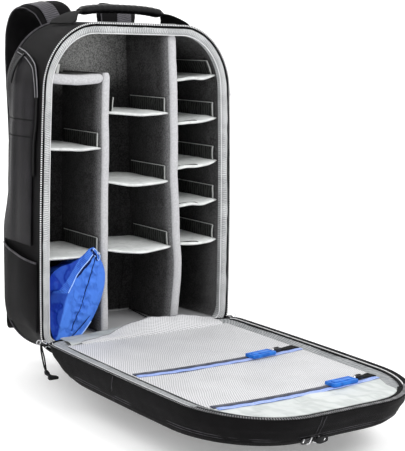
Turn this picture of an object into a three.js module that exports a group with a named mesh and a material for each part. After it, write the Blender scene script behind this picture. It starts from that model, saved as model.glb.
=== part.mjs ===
// Camera backpack that stands on its base, with its front panel unzipped and laid on the
// floor. Millimetres, +Z up. X runs to the right as one looks into the bag, Y runs into
// the bag, and the origin is the middle of the flat base.

import * as THREE from "three";

// Main form of the bag
const bodyWide = 340;
const bodyTall = 521;
const bodyDeep = 150;
const rimLift = 22;
const sideBulge = 4.8;
const footSpread = 10.3;
const bodyLean = 2.8;
const crownAcross = 90;
const crownDown = 99;
const rimFootRound = 30;
const footRound = 85;
const roomFootRound = 45;
const backRound = 26;

// Walls and clearances
const clothWall = 3;
const linerPad = 12.4;
const backLining = 8;
const rimPuff = 3;
const seatGap = 0.3;
const curveGap = 0.9;
const skinGap = 0.55;

// Zip round the opening
const zipWide = 5;
const zipThick = 2.4;

// Front panel, laid open
const hingeGap = 8;
const panelLong = 499;
const panelDeep = 42;
const panelAcross = 110;
const panelDown = 130;
const panelWall = 2.6;
const pipingWide = 2.2;
const bandRise = 4.2;
const bandWide = 26;
const trayFloor = 31;
const trayPad = 7;

// Mesh pockets and their zips inside the front panel
const meshThick = 1.2;
const meshWave = 1.6;
const meshLap = 0.8;
const tapeWide = 9;
const tapeThick = 1.5;
const trimWide = 7;
const pocketZipNear = 226;
const pocketZipFar = 402;
const zipBow = 9;
const endPanelGap = 11;

// Hinge
const bandThick = 2.2;
const hingeWide = 290;
const gussetThick = 1.2;
const gussetWide = 262;
const gussetReach = 40;
const gussetHump = 15;

// Dividers
const leftDividerThick = 13;
const leftDividerAt = -55.5;
const leftDividerShare = 0.8556;
const rightDividerThick = 15;
const rightDividerAt = 72;
const dividerBow = 11;
const dividerSetback = 6;
const topShelfThick = 15;

// Shelves
const shelfThick = 5;
const shelfSag = 6;
const shelfBow = 9;
const tabThick = 2.4;
const tabTall = 25;
const tabSetback = 5;
const shelfSetback = 8;
const shelfBackGap = 14;

// Rain cover kept in the lowest left compartment
const coverShare = 0.2918;
const coverDeep = 96;

// Outside pockets
const pocketSkin = 2;
const upperPuff = 6;
const bootPuff = 10;
const bootHigh = 165;
const bootLow = 54;
const pocketSeam = 112;
const sideZipWide = 7;
const sideZipThick = 2;

// Carrying parts
const gripLong = 150;
const gripDeep = 28;
const gripThick = 14;
const gripClear = 23;
const gripSag = 6;
const gripBack = 60;
const handleFoot = 106;
const handleFootWide = 80;
const handleFootThick = 3.2;
const strapWide = 64;
const strapThick = 14;
const webbingWide = 25;
const webbingThick = 1.8;
const backPadThick = 12;
const backPadWide = 250;
const backPadRound = 50;
const backPadLow = 95;
const backPadClear = 76;

// Zip sliders and pulls
const sliderLong = 15;
const sliderWide = 9;
const sliderThick = 6;
const pullLong = 60;
const pullWide = 21;
const pullThick = 4.6;
const cordThick = 2.4;
const tabSize = 17;
const tabPullThick = 3.2;
const sliderHigh = 39.6;
const cornerInset = 1.6;
const frontPullHigh = 8;
const frontPullAt = -58;
const frontTabLong = 24;
const sidePullLong = 44;
const sidePullWide = 8;

// Places worked out from the sizes
const frontY = -bodyDeep / 2;
const backY = bodyDeep / 2;
const hingeY = frontY - hingeGap;
const padInset = clothWall + seatGap + linerPad;
const roomFloor = rimLift + padInset;
const roomTop = bodyTall - padInset;
const roomBack = backY - clothWall - seatGap - backLining;
const leftDividerTop = leftDividerShare * bodyTall;
const topShelfHigh = leftDividerTop - topShelfThick - 1;
const gripHigh = bodyTall + gripClear;
const bandTop = panelDeep - bandRise;
const meshLevel = bandTop + seatGap;

const looks = {
  shellNylon: { color: 0x1d1d20, roughness: 0.72, metalness: 0 },
  satinNylon: { color: 0x2c2b30, roughness: 0.5, metalness: 0 },
  blackWebbing: { color: 0x19191b, roughness: 0.8, metalness: 0 },
  greyWebbing: { color: 0x4a4a50, roughness: 0.6, metalness: 0 },
  greyLining: { color: 0x9a9c9b, roughness: 0.9, metalness: 0 },
  dividerLining: { color: 0x6a6a6b, roughness: 0.95, metalness: 0 },
  shelfNylon: { color: 0xb4b8b6, roughness: 0.55, metalness: 0 },
  meshNet: { color: 0xc6c6c8, roughness: 0.7, metalness: 0 },
  blueNylon: { color: 0x1f55c8, roughness: 0.45, metalness: 0 },
  blueTrim: { color: 0x7fa6e0, roughness: 0.6, metalness: 0 },
  navyTape: { color: 0x2b3350, roughness: 0.7, metalness: 0 },
  blueRubber: { color: 0x2b6ad0, roughness: 0.4, metalness: 0 },
  zipCoil: { color: 0x222224, roughness: 0.5, metalness: 0 },
  whitePiping: { color: 0xd8d8d8, roughness: 0.6, metalness: 0 },
  blackMetal: { color: 0x17171a, roughness: 0.35, metalness: 0.8 },
  blackRubber: { color: 0x141416, roughness: 0.55, metalness: 0 },
};

const bag = new THREE.Group();

// Small tools for closed bodies

const spot = (x, y, z) => new THREE.Vector3(x, y, z);
const mix = (a, b, share) => a + (b - a) * share;
const hold = (value, low, high) => Math.min(high, Math.max(low, value));

// A closed body from its corners and triangles, turned so that its faces look out.
function addBody(name, corners, triangles, look) {
  const cross = new THREE.Vector3();
  let volume = 0;
  for (const [a, b, c] of triangles) {
    volume += cross.crossVectors(corners[b], corners[c]).dot(corners[a]);
  }
  const outward = volume > 0 ? triangles : triangles.map(([a, b, c]) => [a, c, b]);
  const geometry = new THREE.BufferGeometry().setFromPoints(corners);
  geometry.setIndex(outward.flat());
  geometry.computeVertexNormals();
  const mesh = new THREE.Mesh(geometry, new THREE.MeshStandardMaterial(look));
  mesh.name = name;
  bag.add(mesh);
  return mesh;
}

// A skin through rings of equal length, with each end closed by a fan.
function addLoft(name, rings, look) {
  const count = rings[0].length;
  const corners = rings.flat();
  const triangles = [];
  for (let row = 0; row + 1 < rings.length; row++) {
    for (let i = 0; i < count; i++) {
      const next = (i + 1) % count;
      const a = row * count + i;
      const b = row * count + next;
      triangles.push([a, b, b + count], [a, b + count, a + count]);
    }
  }
  const last = (rings.length - 1) * count;
  for (let i = 1; i + 1 < count; i++) {
    triangles.push([0, i + 1, i], [last, last + i, last + i + 1]);
  }
  return addBody(name, corners, triangles, look);
}

// A sheet between an upper and a lower grid of points, closed along its four edges.
function addSheet(name, upper, lower, look) {
  const rows = upper.length;
  const columns = upper[0].length;
  const below = rows * columns;
  const corners = [...upper.flat(), ...lower.flat()];
  const at = (row, column) => row * columns + column;
  const triangles = [];
  for (let r = 0; r + 1 < rows; r++) {
    for (let c = 0; c + 1 < columns; c++) {
      const [p, q, s, t] = [at(r, c), at(r, c + 1), at(r + 1, c + 1), at(r + 1, c)];
      triangles.push([p, q, s], [p, s, t]);
      triangles.push([below + p, below + s, below + q], [below + p, below + t, below + s]);
    }
  }
  const rim = [];
  for (let c = 0; c < columns; c++) rim.push(at(0, c));
  for (let r = 1; r < rows; r++) rim.push(at(r, columns - 1));
  for (let c = columns - 2; c >= 0; c--) rim.push(at(rows - 1, c));
  for (let r = rows - 2; r > 0; r--) rim.push(at(r, 0));
  rim.forEach((a, i) => {
    const b = rim[(i + 1) % rim.length];
    triangles.push([a, below + a, below + b], [a, below + b, b]);
  });
  return addBody(name, corners, triangles, look);
}

// A flat bar with eased corners, swept along stations of place, side and size.
const barSection = [
  [1, -0.4], [1, 0.4], [0.86, 1], [-0.86, 1], [-1, 0.4], [-1, -0.4], [-0.86, -1], [0.86, -1],
];

function barRing(station, along) {
  const side = station.side.clone();
  side.addScaledVector(along, -side.dot(along)).normalize();
  const face = new THREE.Vector3().crossVectors(side, along);
  return barSection.map(([a, b]) => station.at.clone()
    .addScaledVector(side, (a * station.wide) / 2)
    .addScaledVector(face, (b * station.thick) / 2));
}

// The way that a row of stations runs at one of them.
function alongAt(stations, i) {
  const before = stations[Math.max(i - 1, 0)].at;
  const after = stations[Math.min(i + 1, stations.length - 1)].at;
  return after.clone().sub(before).normalize();
}

// side -1 mirrors a bar that is laid out for the right-hand side.
function addBar(name, stations, look, side = 1) {
  const rings = stations.map((station, i) => barRing(station, alongAt(stations, i)));
  rings.flat().forEach((point) => point.setX(side * point.x));
  return addLoft(name, rings, look);
}

// A round cord along a route of points.
function addCord(name, route, thick, look) {
  const sides = 8;
  const circle = new THREE.Shape();
  for (let i = 0; i <= sides; i++) {
    const turn = (i / sides) * Math.PI * 2;
    const method = i ? "lineTo" : "moveTo";
    circle[method]((Math.cos(turn) * thick) / 2, (Math.sin(turn) * thick) / 2);
  }
  const curve = new THREE.CatmullRomCurve3(route);
  const steps = Math.round(curve.getLength() / (thick * 2.2));
  const geometry = new THREE.ExtrudeGeometry(circle, { steps, extrudePath: curve });
  const mesh = new THREE.Mesh(geometry, new THREE.MeshStandardMaterial(look));
  mesh.name = name;
  bag.add(mesh);
}

// Outline of the bag

const cornerSteps = 6;
const sideSteps = 4;

// How much wider the soft sides stand at a height than at the plain outline.
function swell(high) {
  const share = hold((high - rimLift) / (bodyTall - rimLift), 0, 1);
  const bulge = sideBulge * 4 * share * (1 - share);
  return 1 + (bulge + footSpread * (0.5 - share)) / (bodyWide / 2);
}

function lean(high) {
  return bodyLean * (1 - hold((high - rimLift) / (bodyTall - rimLift), 0, 1));
}

// One closed ring of the outline, from the middle of its foot, up its right side.
function outline(form, place) {
  const { inset, base, top, across, down, foot } = form;
  const half = bodyWide / 2 - inset;
  const ring = [];
  const put = (x, high) => ring.push(place(x * swell(high) + lean(high), high));
  const corner = (x, high, wide, tall, from) => {
    for (let i = 0; i <= cornerSteps; i++) {
      const turn = from + ((i / cornerSteps) * Math.PI) / 2;
      put(x + wide * Math.cos(turn), high + tall * Math.sin(turn));
    }
  };
  const side = (x, from, to) => {
    for (let i = 1; i < sideSteps; i++) put(x, mix(from, to, i / sideSteps));
  };
  put(0, base);
  corner(half - foot, base + foot, foot, foot, -Math.PI / 2);
  side(half, base + foot, top - down);
  corner(half - across, top - down, across, down, 0);
  put(0, top);
  corner(-half + across, top - down, across, down, Math.PI / 2);
  side(-half, top - down, base + foot);
  corner(-half + foot, base + foot, foot, foot, Math.PI);
  return ring;
}

// How far a ring's side stands from the middle at a height, before the lean.
function reach(form, high) {
  const half = bodyWide / 2 - form.inset;
  const crown = (high - (form.top - form.down)) / form.down;
  const heel = (form.base + form.foot - high) / form.foot;
  let x = half;
  if (crown > 0) x -= form.across * (1 - Math.sqrt(1 - Math.min(crown, 1) ** 2));
  if (heel > 0) x -= form.foot * (1 - Math.sqrt(1 - Math.min(heel, 1) ** 2));
  return x * swell(high);
}

// Body stations from the zip rim to the back: deep is a share of the bag's depth, lift of
// the rim's height above the ground, heel of the way from the rim's foot corner to the
// round one behind it, and tuck of the rounding at the back.
const bodyStations = [
  { deep: 0, lift: 1, heel: 0, tuck: 0 },
  { deep: 0.05, lift: 0.62, heel: 0.3, tuck: -0.02 },
  { deep: 0.13, lift: 0.24, heel: 0.6, tuck: -0.04 },
  { deep: 0.26, lift: 0, heel: 0.92, tuck: -0.05 },
  { deep: 0.5, lift: 0, heel: 1, tuck: -0.05 },
  { deep: 0.78, lift: 0, heel: 1, tuck: 0 },
  { deep: 0.89, lift: 0, heel: 1, tuck: 0.2 },
  { deep: 0.96, lift: 0, heel: 1, tuck: 0.52 },
  { deep: 1, lift: 0, heel: 1, tuck: 1 },
];

// The outline at a depth, drawn in by so many millimetres.
function bodyForm(deep, inset) {
  const after = Math.max(1, bodyStations.findIndex((row) => row.deep >= deep - 1e-9));
  const [a, b] = [bodyStations[after - 1], bodyStations[after]];
  const share = (deep - a.deep) / (b.deep - a.deep);
  const tuck = mix(a.tuck, b.tuck, share) * backRound;
  const heel = mix(rimFootRound, footRound, mix(a.heel, b.heel, share));
  const seat = mix(a.lift, b.lift, share) * rimLift + Math.max(tuck, 0);
  return {
    inset: inset + tuck,
    base: seat + inset,
    top: bodyTall - inset - Math.max(tuck, 0),
    across: crownAcross - inset,
    down: crownDown - inset,
    foot: heel - inset,
  };
}

const deepAt = (y) => (y - frontY) / bodyDeep;
const bodyRing = (y, inset) =>
  outline(bodyForm(deepAt(y), inset), (x, high) => spot(x, y, high));

// The rim's outline at any place in front or inside of it, drawn in.
const rimForm = (inset) => bodyForm(0, inset);
const rimRing = (y, inset) => outline(rimForm(inset), (x, high) => spot(x, y, high));

function bodyShell() {
  const depths = bodyStations.map((row) => frontY + row.deep * bodyDeep);
  const outer = depths.map((y) => bodyRing(y, 0)).reverse();
  const inner = depths.slice(0, -1).map((y) => bodyRing(y, clothWall));
  inner.push(bodyRing(backY - clothWall, clothWall));
  addLoft("body_shell", [...outer, ...inner], looks.shellNylon);
}

// Padded lining: it fills the shell's foot and rounds over the rim.
function bodyLiner() {
  const seat = clothWall + seatGap;
  const behind = bodyStations.slice(1, -1).map((row) => frontY + row.deep * bodyDeep);
  const outer = behind.map((y) => bodyRing(y, seat));
  outer.push(bodyRing(backY - seat, seat));
  outer.unshift(bodyRing(frontY + seatGap, seat));
  const face = frontY - rimPuff;
  const inner = [
    rimRing(frontY - zipThick / 2, zipWide + 2 * seatGap),
    rimRing(face, mix(zipWide, padInset, 0.3)),
    rimRing(face, mix(zipWide, padInset, 0.72)),
    rimRing(frontY + rimPuff, padInset),
    outline({ ...rimForm(padInset), foot: roomFootRound }, (x, high) => spot(x, roomBack, high)),
  ];
  const sheltered = rimRing(frontY + seatGap, zipWide + 2 * seatGap);
  addLoft("body_liner", [...outer.reverse(), sheltered, ...inner], looks.greyLining);
}

// The zip runs from one foot corner over the crown to the other.
function rimStrip(name, rings, look) {
  const first = 2 + Math.floor(cornerSteps / 2);
  const count = rings[0].length;
  const stations = [];
  for (let i = first; i <= count - first + 1; i++) {
    stations.push(rings.map((ring) => ring[i]));
  }
  addLoft(name, stations, look);
}

function bodyZip() {
  const [near, far] = [frontY - seatGap, frontY - seatGap - zipThick];
  const rings = [rimRing(near, 0), rimRing(near, zipWide), rimRing(far, zipWide), rimRing(far, 0)];
  rimStrip("body_zip", rings, looks.zipCoil);
}

function backPad() {
  const form = (inset) => ({
    inset: (bodyWide - backPadWide) / 2 + inset,
    base: backPadLow + inset,
    top: bodyTall - backPadClear - inset,
    across: backPadRound,
    down: backPadRound,
    foot: backPadRound * 0.8,
  });
  const ring = (out, inset) => outline(form(inset * backPadThick), (x, high) =>
    spot(x, backY + seatGap + out * backPadThick, high));
  const rings = [ring(0, 0), ring(0.6, 0.08), ring(0.92, 0.5), ring(1, 1.33)];
  addLoft("back_pad", rings, looks.shellNylon);
}

// Outside pockets, the same on both sides

// Front edge of the upper pocket: high is a share of the bag's height, and ahead the
// distance behind the rim as a share of its depth.
const upperEdge = [
  { high: 0.357, ahead: 0.14 },
  { high: 0.44, ahead: 0.14 },
  { high: 0.54, ahead: 0.14 },
  { high: 0.64, ahead: 0.145 },
  { high: 0.72, ahead: 0.11 },
  { high: 0.777, ahead: 0.11 },
  { high: 0.815, ahead: 0.125 },
  { high: 0.84, ahead: 0.16 },
  { high: 0.863, ahead: 0.24 },
  { high: 0.882, ahead: 0.38 },
  { high: 0.898, ahead: 0.55 },
];

// A point on the body's side, pushed out.
function sideSpot(side, y, high, out) {
  const x = reach(bodyForm(deepAt(y), 0), high) + out;
  return spot(side * x + lean(high), y, high);
}

function pocketGrid(side, rows, columns, lift, thick) {
  const grid = (extra) => rows.map((row) => columns.map((share) => {
    const y = mix(row.front, row.back, share);
    return sideSpot(side, y, row.high(share), lift(row, share) + extra);
  }));
  return [grid(thick), grid(0)];
}

const pocketColumns = [0, 0.2, 0.45, 0.75, 1];
const seamY = frontY + pocketSeam;

function upperPocket(side, name) {
  const rows = upperEdge.map((edge, i) => ({
    high: () => edge.high * bodyTall,
    front: frontY + edge.ahead * bodyDeep,
    back: seamY,
    puff: Math.sin((Math.PI * (i + 0.4)) / upperEdge.length) ** 0.6,
  }));
  const lift = (row, share) =>
    skinGap + upperPuff * row.puff * Math.sin(Math.PI * share) ** 0.8;
  addSheet(name, ...pocketGrid(side, rows, pocketColumns, lift, pocketSkin), looks.shellNylon);
}

// The boot pocket stands open at the top, and its mouth rises towards the back.
function bootPocket(side, name) {
  const levels = [0, 0.1, 0.28, 0.55, 0.8, 1];
  const rows = levels.map((level) => ({
    level,
    high: (share) => mix(bootLow, mix(bootHigh - 5, bootHigh + 14, share), level),
    front: frontY + 5,
    back: seamY,
  }));
  const lift = (row, share) => {
    const open = Math.sin((Math.PI / 2) * row.level) * Math.sin(Math.PI * share) ** 0.7;
    return skinGap + bootPuff * open;
  };
  addSheet(name, ...pocketGrid(side, rows, pocketColumns, lift, pocketSkin), looks.shellNylon);
}

// The curved zip lies just ahead of the upper pocket's front edge.
function sideZip(side, name) {
  const stations = upperEdge.slice(2).map((edge) => {
    const y = frontY + edge.ahead * bodyDeep - sideZipWide * 0.5 - 1.5;
    const high = edge.high * bodyTall + (edge.high > 0.8 ? sideZipWide * 0.62 : 0);
    const out = skinGap + sideZipThick / 2;
    return { y, high, out };
  });
  const places = stations.map(({ y, high, out }) => sideSpot(side, y, high, out));
  const bars = places.map((at, i) => {
    const before = places[Math.max(i - 1, 0)];
    const after = places[Math.min(i + 1, places.length - 1)];
    const along = after.clone().sub(before).normalize();
    const outward = spot(side, 0, 0.35).normalize();
    const across = new THREE.Vector3().crossVectors(outward, along);
    return { at, side: across, wide: sideZipWide, thick: sideZipThick };
  });
  addBar(name, bars, looks.zipCoil);
}

// Front panel. up is a share of its depth; side, near and far draw the ring in at the
// sides, at the hinge and at the far end, as shares of its depth.
const panelStations = [
  { up: 0, side: 0.2, near: 1.3, far: 0.74, heel: 0.9 },
  { up: 0.08, side: 0.09, near: 1.05, far: 0.58, heel: 0.85 },
  { up: 0.3, side: 0.01, near: 0.6, far: 0.38, heel: 0.6 },
  { up: 0.66, side: -0.04, near: 0.2, far: 0.16, heel: 0.25 },
  { up: 1, side: 0, near: 0, far: 0, heel: 0 },
];

function panelForm(up, inset) {
  const after = Math.max(1, panelStations.findIndex((row) => row.up >= up - 1e-9));
  const [a, b] = [panelStations[after - 1], panelStations[after]];
  const share = (up - a.up) / (b.up - a.up);
  const drawn = (key) => mix(a[key], b[key], share) * panelDeep;
  return {
    inset: inset + drawn("side"),
    base: rimLift + inset + drawn("near"),
    top: rimLift + panelLong - inset - drawn("far"),
    across: panelAcross - inset,
    down: panelDown - inset,
    foot: mix(rimFootRound, footRound, mix(a.heel, b.heel, share)) - inset,
  };
}

const panelRing = (z, inset) => outline(
  panelForm(Math.min(z / panelDeep, 1), inset),
  (x, high) => spot(x, hingeY - (high - rimLift), z),
);

function panelShell() {
  const levels = panelStations.map((row) => row.up * panelDeep);
  const outer = levels.map((z) => panelRing(z, 0));
  const inner = levels.slice(2).reverse().map((z) => panelRing(z, panelWall));
  inner.push(panelRing(clothWall, panelWall + 1));
  addLoft("panel_shell", [...outer, ...inner], looks.shellNylon);
}

// The lining is a tray: a soft band under the rim, then a sunk padded floor.
function panelLiner() {
  const seat = panelWall + seatGap;
  const under = trayFloor - trayPad;
  const bulge = panelStations[3].up * panelDeep;
  const piped = seat + pipingWide + seatGap;
  const rings = [
    panelRing(under, seat),
    panelRing(bulge, seat),
    panelRing(panelDeep - 2 * seatGap - 1, seat),
    panelRing(panelDeep - 2 * seatGap - 1, piped),
    panelRing(panelDeep - 0.6, piped + 1),
    panelRing(mix(bandTop, panelDeep, 0.3), mix(seat, bandWide, 0.6)),
    panelRing(bandTop, bandWide),
    panelRing(trayFloor, bandWide + 3),
  ];
  addLoft("panel_liner", rings, looks.greyLining);
}

function panelZip() {
  const [low, high] = [panelDeep + seatGap, panelDeep + seatGap + zipThick];
  const level = (z, inset) => panelRing(panelDeep, inset).map((p) => p.clone().setZ(z));
  const outer = -zipWide + panelWall;
  const rings = [level(low, outer), level(low, panelWall), level(high, panelWall), level(high, outer)];
  rimStrip("panel_zip", rings, looks.zipCoil);
}

function panelPiping() {
  const seat = panelWall + seatGap;
  const low = panelDeep - 1;
  const level = (z, inset) => panelRing(Math.min(z, panelDeep), inset).map((p) => p.clone().setZ(z));
  const rings = [
    level(low, seat),
    level(low, seat + pipingWide),
    level(low + pipingWide, seat + pipingWide),
    level(low + pipingWide, seat),
  ];
  rimStrip("panel_piping", rings, looks.whitePiping);
}

// Hinge

function hingeBand() {
  const z = panelDeep * 0.62;
  const stations = [-1, -0.5, 0, 0.5, 1].map((share) => ({
    at: spot((share * hingeWide) / 2, frontY - hingeGap / 2 + 1, z),
    side: spot(0, 1, 0),
    wide: hingeGap * 0.56,
    thick: bandThick,
  }));
  addBar("hinge_band", stations, looks.shellNylon);
}

// Height of the soft gusset over the hinge: across is a share of half its width, and
// hump a share of its highest rise.
const gussetWaves = [
  { across: -1, hump: 0 },
  { across: -0.78, hump: 0.04 },
  { across: -0.56, hump: 0.1 },
  { across: -0.36, hump: 0.26 },
  { across: -0.14, hump: 0.72 },
  { across: 0.12, hump: 1 },
  { across: 0.34, hump: 0.92 },
  { across: 0.58, hump: 0.78 },
  { across: 0.8, hump: 0.42 },
  { across: 1, hump: 0 },
];

// The gusset's section, from the bag's floor to the panel: ahead is a share of its reach,
// and rise of the local hump.
const gussetSection = [
  { ahead: -0.1, rise: 0 },
  { ahead: 0.02, rise: 0.45 },
  { ahead: 0.2, rise: 0.9 },
  { ahead: 0.42, rise: 1 },
  { ahead: 0.7, rise: 0.62 },
  { ahead: 1, rise: 0 },
];

function hingeGusset() {
  const inner = roomFloor + seatGap + 0.8;
  const outer = meshLevel + meshThick + seatGap;
  const grid = (extra) => gussetSection.map((row) => gussetWaves.map((wave) => {
    const over = Math.sin(Math.PI * hold((row.ahead + 0.1) / 1.1, 0, 1)) ** 0.25;
    const rest = mix(row.ahead < 0.5 ? inner : outer, panelDeep + 0.9, over);
    const z = rest + gussetHump * wave.hump * row.rise + extra;
    const x = (wave.across * gussetWide) / 2;
    return spot(x, frontY - row.ahead * gussetReach, z);
  }));
  addSheet("hinge_gusset", grid(gussetThick), grid(0), looks.shelfNylon);
}

// Mesh pockets on the panel. A zip's line bows towards the far end in its middle.

const panelY = (distance) => hingeY - distance;
const zipLine = (distance, share) =>
  distance + zipBow * (1 - Math.abs(2 * share - 1) ** 2.4) - (zipBow / 2) * share;

// Edge of the mesh at a distance from the hinge, on one side.
function meshEdge(side, distance) {
  const form = panelForm(1, bandWide + meshLap);
  return side * reach(form, rimLift + distance) + lean(rimLift + distance);
}

const meshColumns = [0, 0.09, 0.22, 0.36, 0.5, 0.64, 0.78, 0.91, 1];
const meshRows = [0, 0.12, 0.3, 0.5, 0.7, 0.88, 1];

// A sheet that lies between two lines across the panel, with its own waves.
function panelSheet(name, lines, waves, look) {
  const grid = (extra) => meshRows.map((down) => meshColumns.map((share) => {
    const distance = mix(lines.near(share), lines.far(share), down);
    const x = mix(meshEdge(-1, distance), meshEdge(1, distance), share);
    const calm = Math.sin(Math.PI * down) * Math.sin(Math.PI * share);
    const wave = Math.sin(waves.across * Math.PI * share + waves.turn * down * Math.PI);
    return spot(x, panelY(distance), meshLevel + (meshWave * calm * (wave - 1)) / 2 + extra);
  }));
  addSheet(name, grid(meshThick), grid(0), look);
}

function meshPockets() {
  const start = () => bandWide + 3 * meshLap;
  const firstZip = (share) => zipLine(pocketZipNear, share);
  const secondZip = (share) => zipLine(pocketZipFar, share);
  panelSheet("mesh_pocket_1", { near: start, far: (s) => firstZip(s) - hingeGap },
    { across: 3, turn: 2 }, looks.meshNet);
  panelSheet("mesh_pocket_2",
    { near: (s) => firstZip(s) - hingeGap + 1, far: (s) => secondZip(s) - hingeGap },
    { across: 2.4, turn: -1.6 }, looks.meshNet);
  panelSheet("end_panel",
    { near: (s) => secondZip(s) - hingeGap + 1, far: () => panelLong - bandWide - endPanelGap },
    { across: 5, turn: 0 }, looks.shelfNylon);
}

// A flat strip across the panel that follows a zip's line.
function crossStrip(name, distance, offset, wide, thick, look) {
  const rest = meshLevel + meshThick + seatGap;
  const count = 10;
  const stations = [];
  for (let i = 0; i <= count; i++) {
    const share = mix(0.012, 0.988, i / count);
    const down = zipLine(distance, share) - hingeGap + offset;
    const x = mix(meshEdge(-1, down), meshEdge(1, down), share);
    const at = spot(x, panelY(down), rest + thick / 2);
    stations.push({ at, side: spot(0, 1, 0), wide, thick });
  }
  addBar(name, stations, look);
}

function pocketZips() {
  const zips = [pocketZipNear, pocketZipFar];
  zips.forEach((distance, i) => {
    crossStrip(`pocket_zip_${i + 1}`, distance, 0, tapeWide, tapeThick, looks.navyTape);
    const beside = (tapeWide + trimWide) / 2 + curveGap;
    crossStrip(`pocket_trim_${i + 1}`, distance, beside, trimWide, tapeThick * 0.6, looks.blueTrim);
  });
}

// A small block with eased edges, laid flat and turned about Z.
function addBlock(name, size, at, turn, look) {
  const { long, wide, thick, taper = 1 } = size;
  const along = spot(Math.cos(turn), Math.sin(turn), 0);
  const side = spot(-Math.sin(turn), Math.cos(turn), 0);
  const shares = [
    { run: -0.5, grow: 0.8 }, { run: -0.44, grow: 1 }, { run: 0.44, grow: 1 }, { run: 0.5, grow: 0.8 },
  ];
  const stations = shares.map(({ run, grow }) => ({
    at: at.clone().addScaledVector(along, run * long),
    side,
    wide: wide * grow * mix(1, taper, run + 0.5),
    thick: thick * grow,
  }));
  addBar(name, stations, look);
}

// Each pocket zip is shut to the right, with its slider there and a rubber pull beside it.
const pocketSliders = [
  { distance: pocketZipNear, share: 0.87, turn: 0.12 },
  { distance: pocketZipFar, share: 0.91, turn: 0.06 },
];

function pocketPulls() {
  const rest = meshLevel + meshThick + tapeThick + 2 * seatGap;
  pocketSliders.forEach(({ distance, share, turn }, i) => {
    const down = zipLine(distance, share) - hingeGap;
    const x = mix(meshEdge(-1, down), meshEdge(1, down), share);
    const slider = spot(x, panelY(down), rest + sliderThick / 2);
    const size = { long: sliderLong, wide: sliderWide, thick: sliderThick };
    addBlock(`pocket_slider_${i + 1}`, size, slider, turn, looks.blackMetal);
    const away = (sliderLong + pullLong) / 2 + seatGap;
    const pull = spot(
      x - away * Math.cos(turn),
      panelY(down) - away * Math.sin(turn) - 4,
      rest + pullThick / 2 + 0.4,
    );
    const pad = { long: pullLong, wide: pullWide, thick: pullThick, taper: 0.92 };
    addBlock(`pocket_pull_${i + 1}`, pad, pull, turn, looks.blueRubber);
  });
}

// Dividers. A divider's table gives its middle's shift, as a share of the largest bow, at
// shares of the room's height.

const rightDividerBow = [
  { high: 0, shift: 0.36 },
  { high: 0.05, shift: 0.59 },
  { high: 0.13, shift: 0.91 },
  { high: 0.21, shift: 1 },
  { high: 0.32, shift: 0.64 },
  { high: 0.45, shift: 0.23 },
  { high: 0.62, shift: 0 },
  { high: 0.8, shift: -0.27 },
  { high: 0.93, shift: -0.55 },
  { high: 1, shift: -0.77 },
];

const leftDividerBow = [
  { high: 0, shift: 0.09 },
  { high: 0.2, shift: 0.05 },
  { high: 0.45, shift: 0 },
  { high: 0.7, shift: -0.05 },
  { high: 0.93, shift: 0 },
  { high: 1, shift: -0.05 },
];

function shiftAt(bow, share) {
  const after = Math.max(1, bow.findIndex((row) => row.high >= share - 1e-9));
  const [a, b] = [bow[after - 1], bow[after]];
  return dividerBow * mix(a.shift, b.shift, (share - a.high) / (b.high - a.high));
}

const dividerFoot = roomFloor + seatGap;
const rightDividerTop = roomTop - seatGap;
const shareOf = (high, top) => hold((high - dividerFoot) / (top - dividerFoot), 0, 1);
const leftDividerX = (high) => leftDividerAt + shiftAt(leftDividerBow, shareOf(high, leftDividerTop));
const rightDividerX = (high) =>
  rightDividerAt + shiftAt(rightDividerBow, shareOf(high, rightDividerTop));

function addDivider(name, bow, top, at, thick) {
  const front = frontY + dividerSetback;
  const back = roomBack - seatGap;
  const rings = bow.map((row, i) => {
    const high = mix(dividerFoot, top, row.high);
    const x = at + row.shift * dividerBow;
    const end = i === 0 || i === bow.length - 1;
    const half = (thick / 2) * (end ? 0.8 : 1);
    const nose = thick * 0.36;
    return [
      spot(x - half, back, high),
      spot(x - half, front + nose, high),
      spot(x - half * 0.62, front + nose * 0.3, high),
      spot(x, front, high),
      spot(x + half * 0.62, front + nose * 0.3, high),
      spot(x + half, front + nose, high),
      spot(x + half, back, high),
    ];
  });
  addLoft(name, rings, looks.dividerLining);
}

// The inner face of the side wall at a height.
function wallX(side, high) {
  return side * reach(rimForm(padInset), high) + lean(high);
}

// The short padded shelf that closes the left column at the top.
function topShelf() {
  const middle = topShelfHigh + topShelfThick / 2;
  const left = wallX(-1, topShelfHigh + topShelfThick) + curveGap;
  const right = leftDividerX(middle) - leftDividerThick / 2 - seatGap;
  const front = frontY + dividerSetback;
  const back = roomBack - seatGap;
  const nose = topShelfThick * 0.36;
  const half = topShelfThick / 2;
  const rings = [0, 0.1, 0.5, 0.92, 1].map((share) => {
    const x = mix(left, right, share);
    const grow = share === 1 ? 0.7 : 1;
    const sag = -0.4 * shelfSag * Math.sin(Math.PI * share);
    const z = middle + sag + mix(-seatGap, seatGap, share);
    return [
      spot(x, back, z - half * grow),
      spot(x, front + nose, z - half * grow),
      spot(x, front + nose * 0.3, z - half * 0.62 * grow),
      spot(x, front, z),
      spot(x, front + nose * 0.3, z + half * 0.62 * grow),
      spot(x, front + nose, z + half * grow),
      spot(x, back, z + half * grow),
    ];
  });
  addLoft("top_shelf", rings, looks.dividerLining);
}

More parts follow.
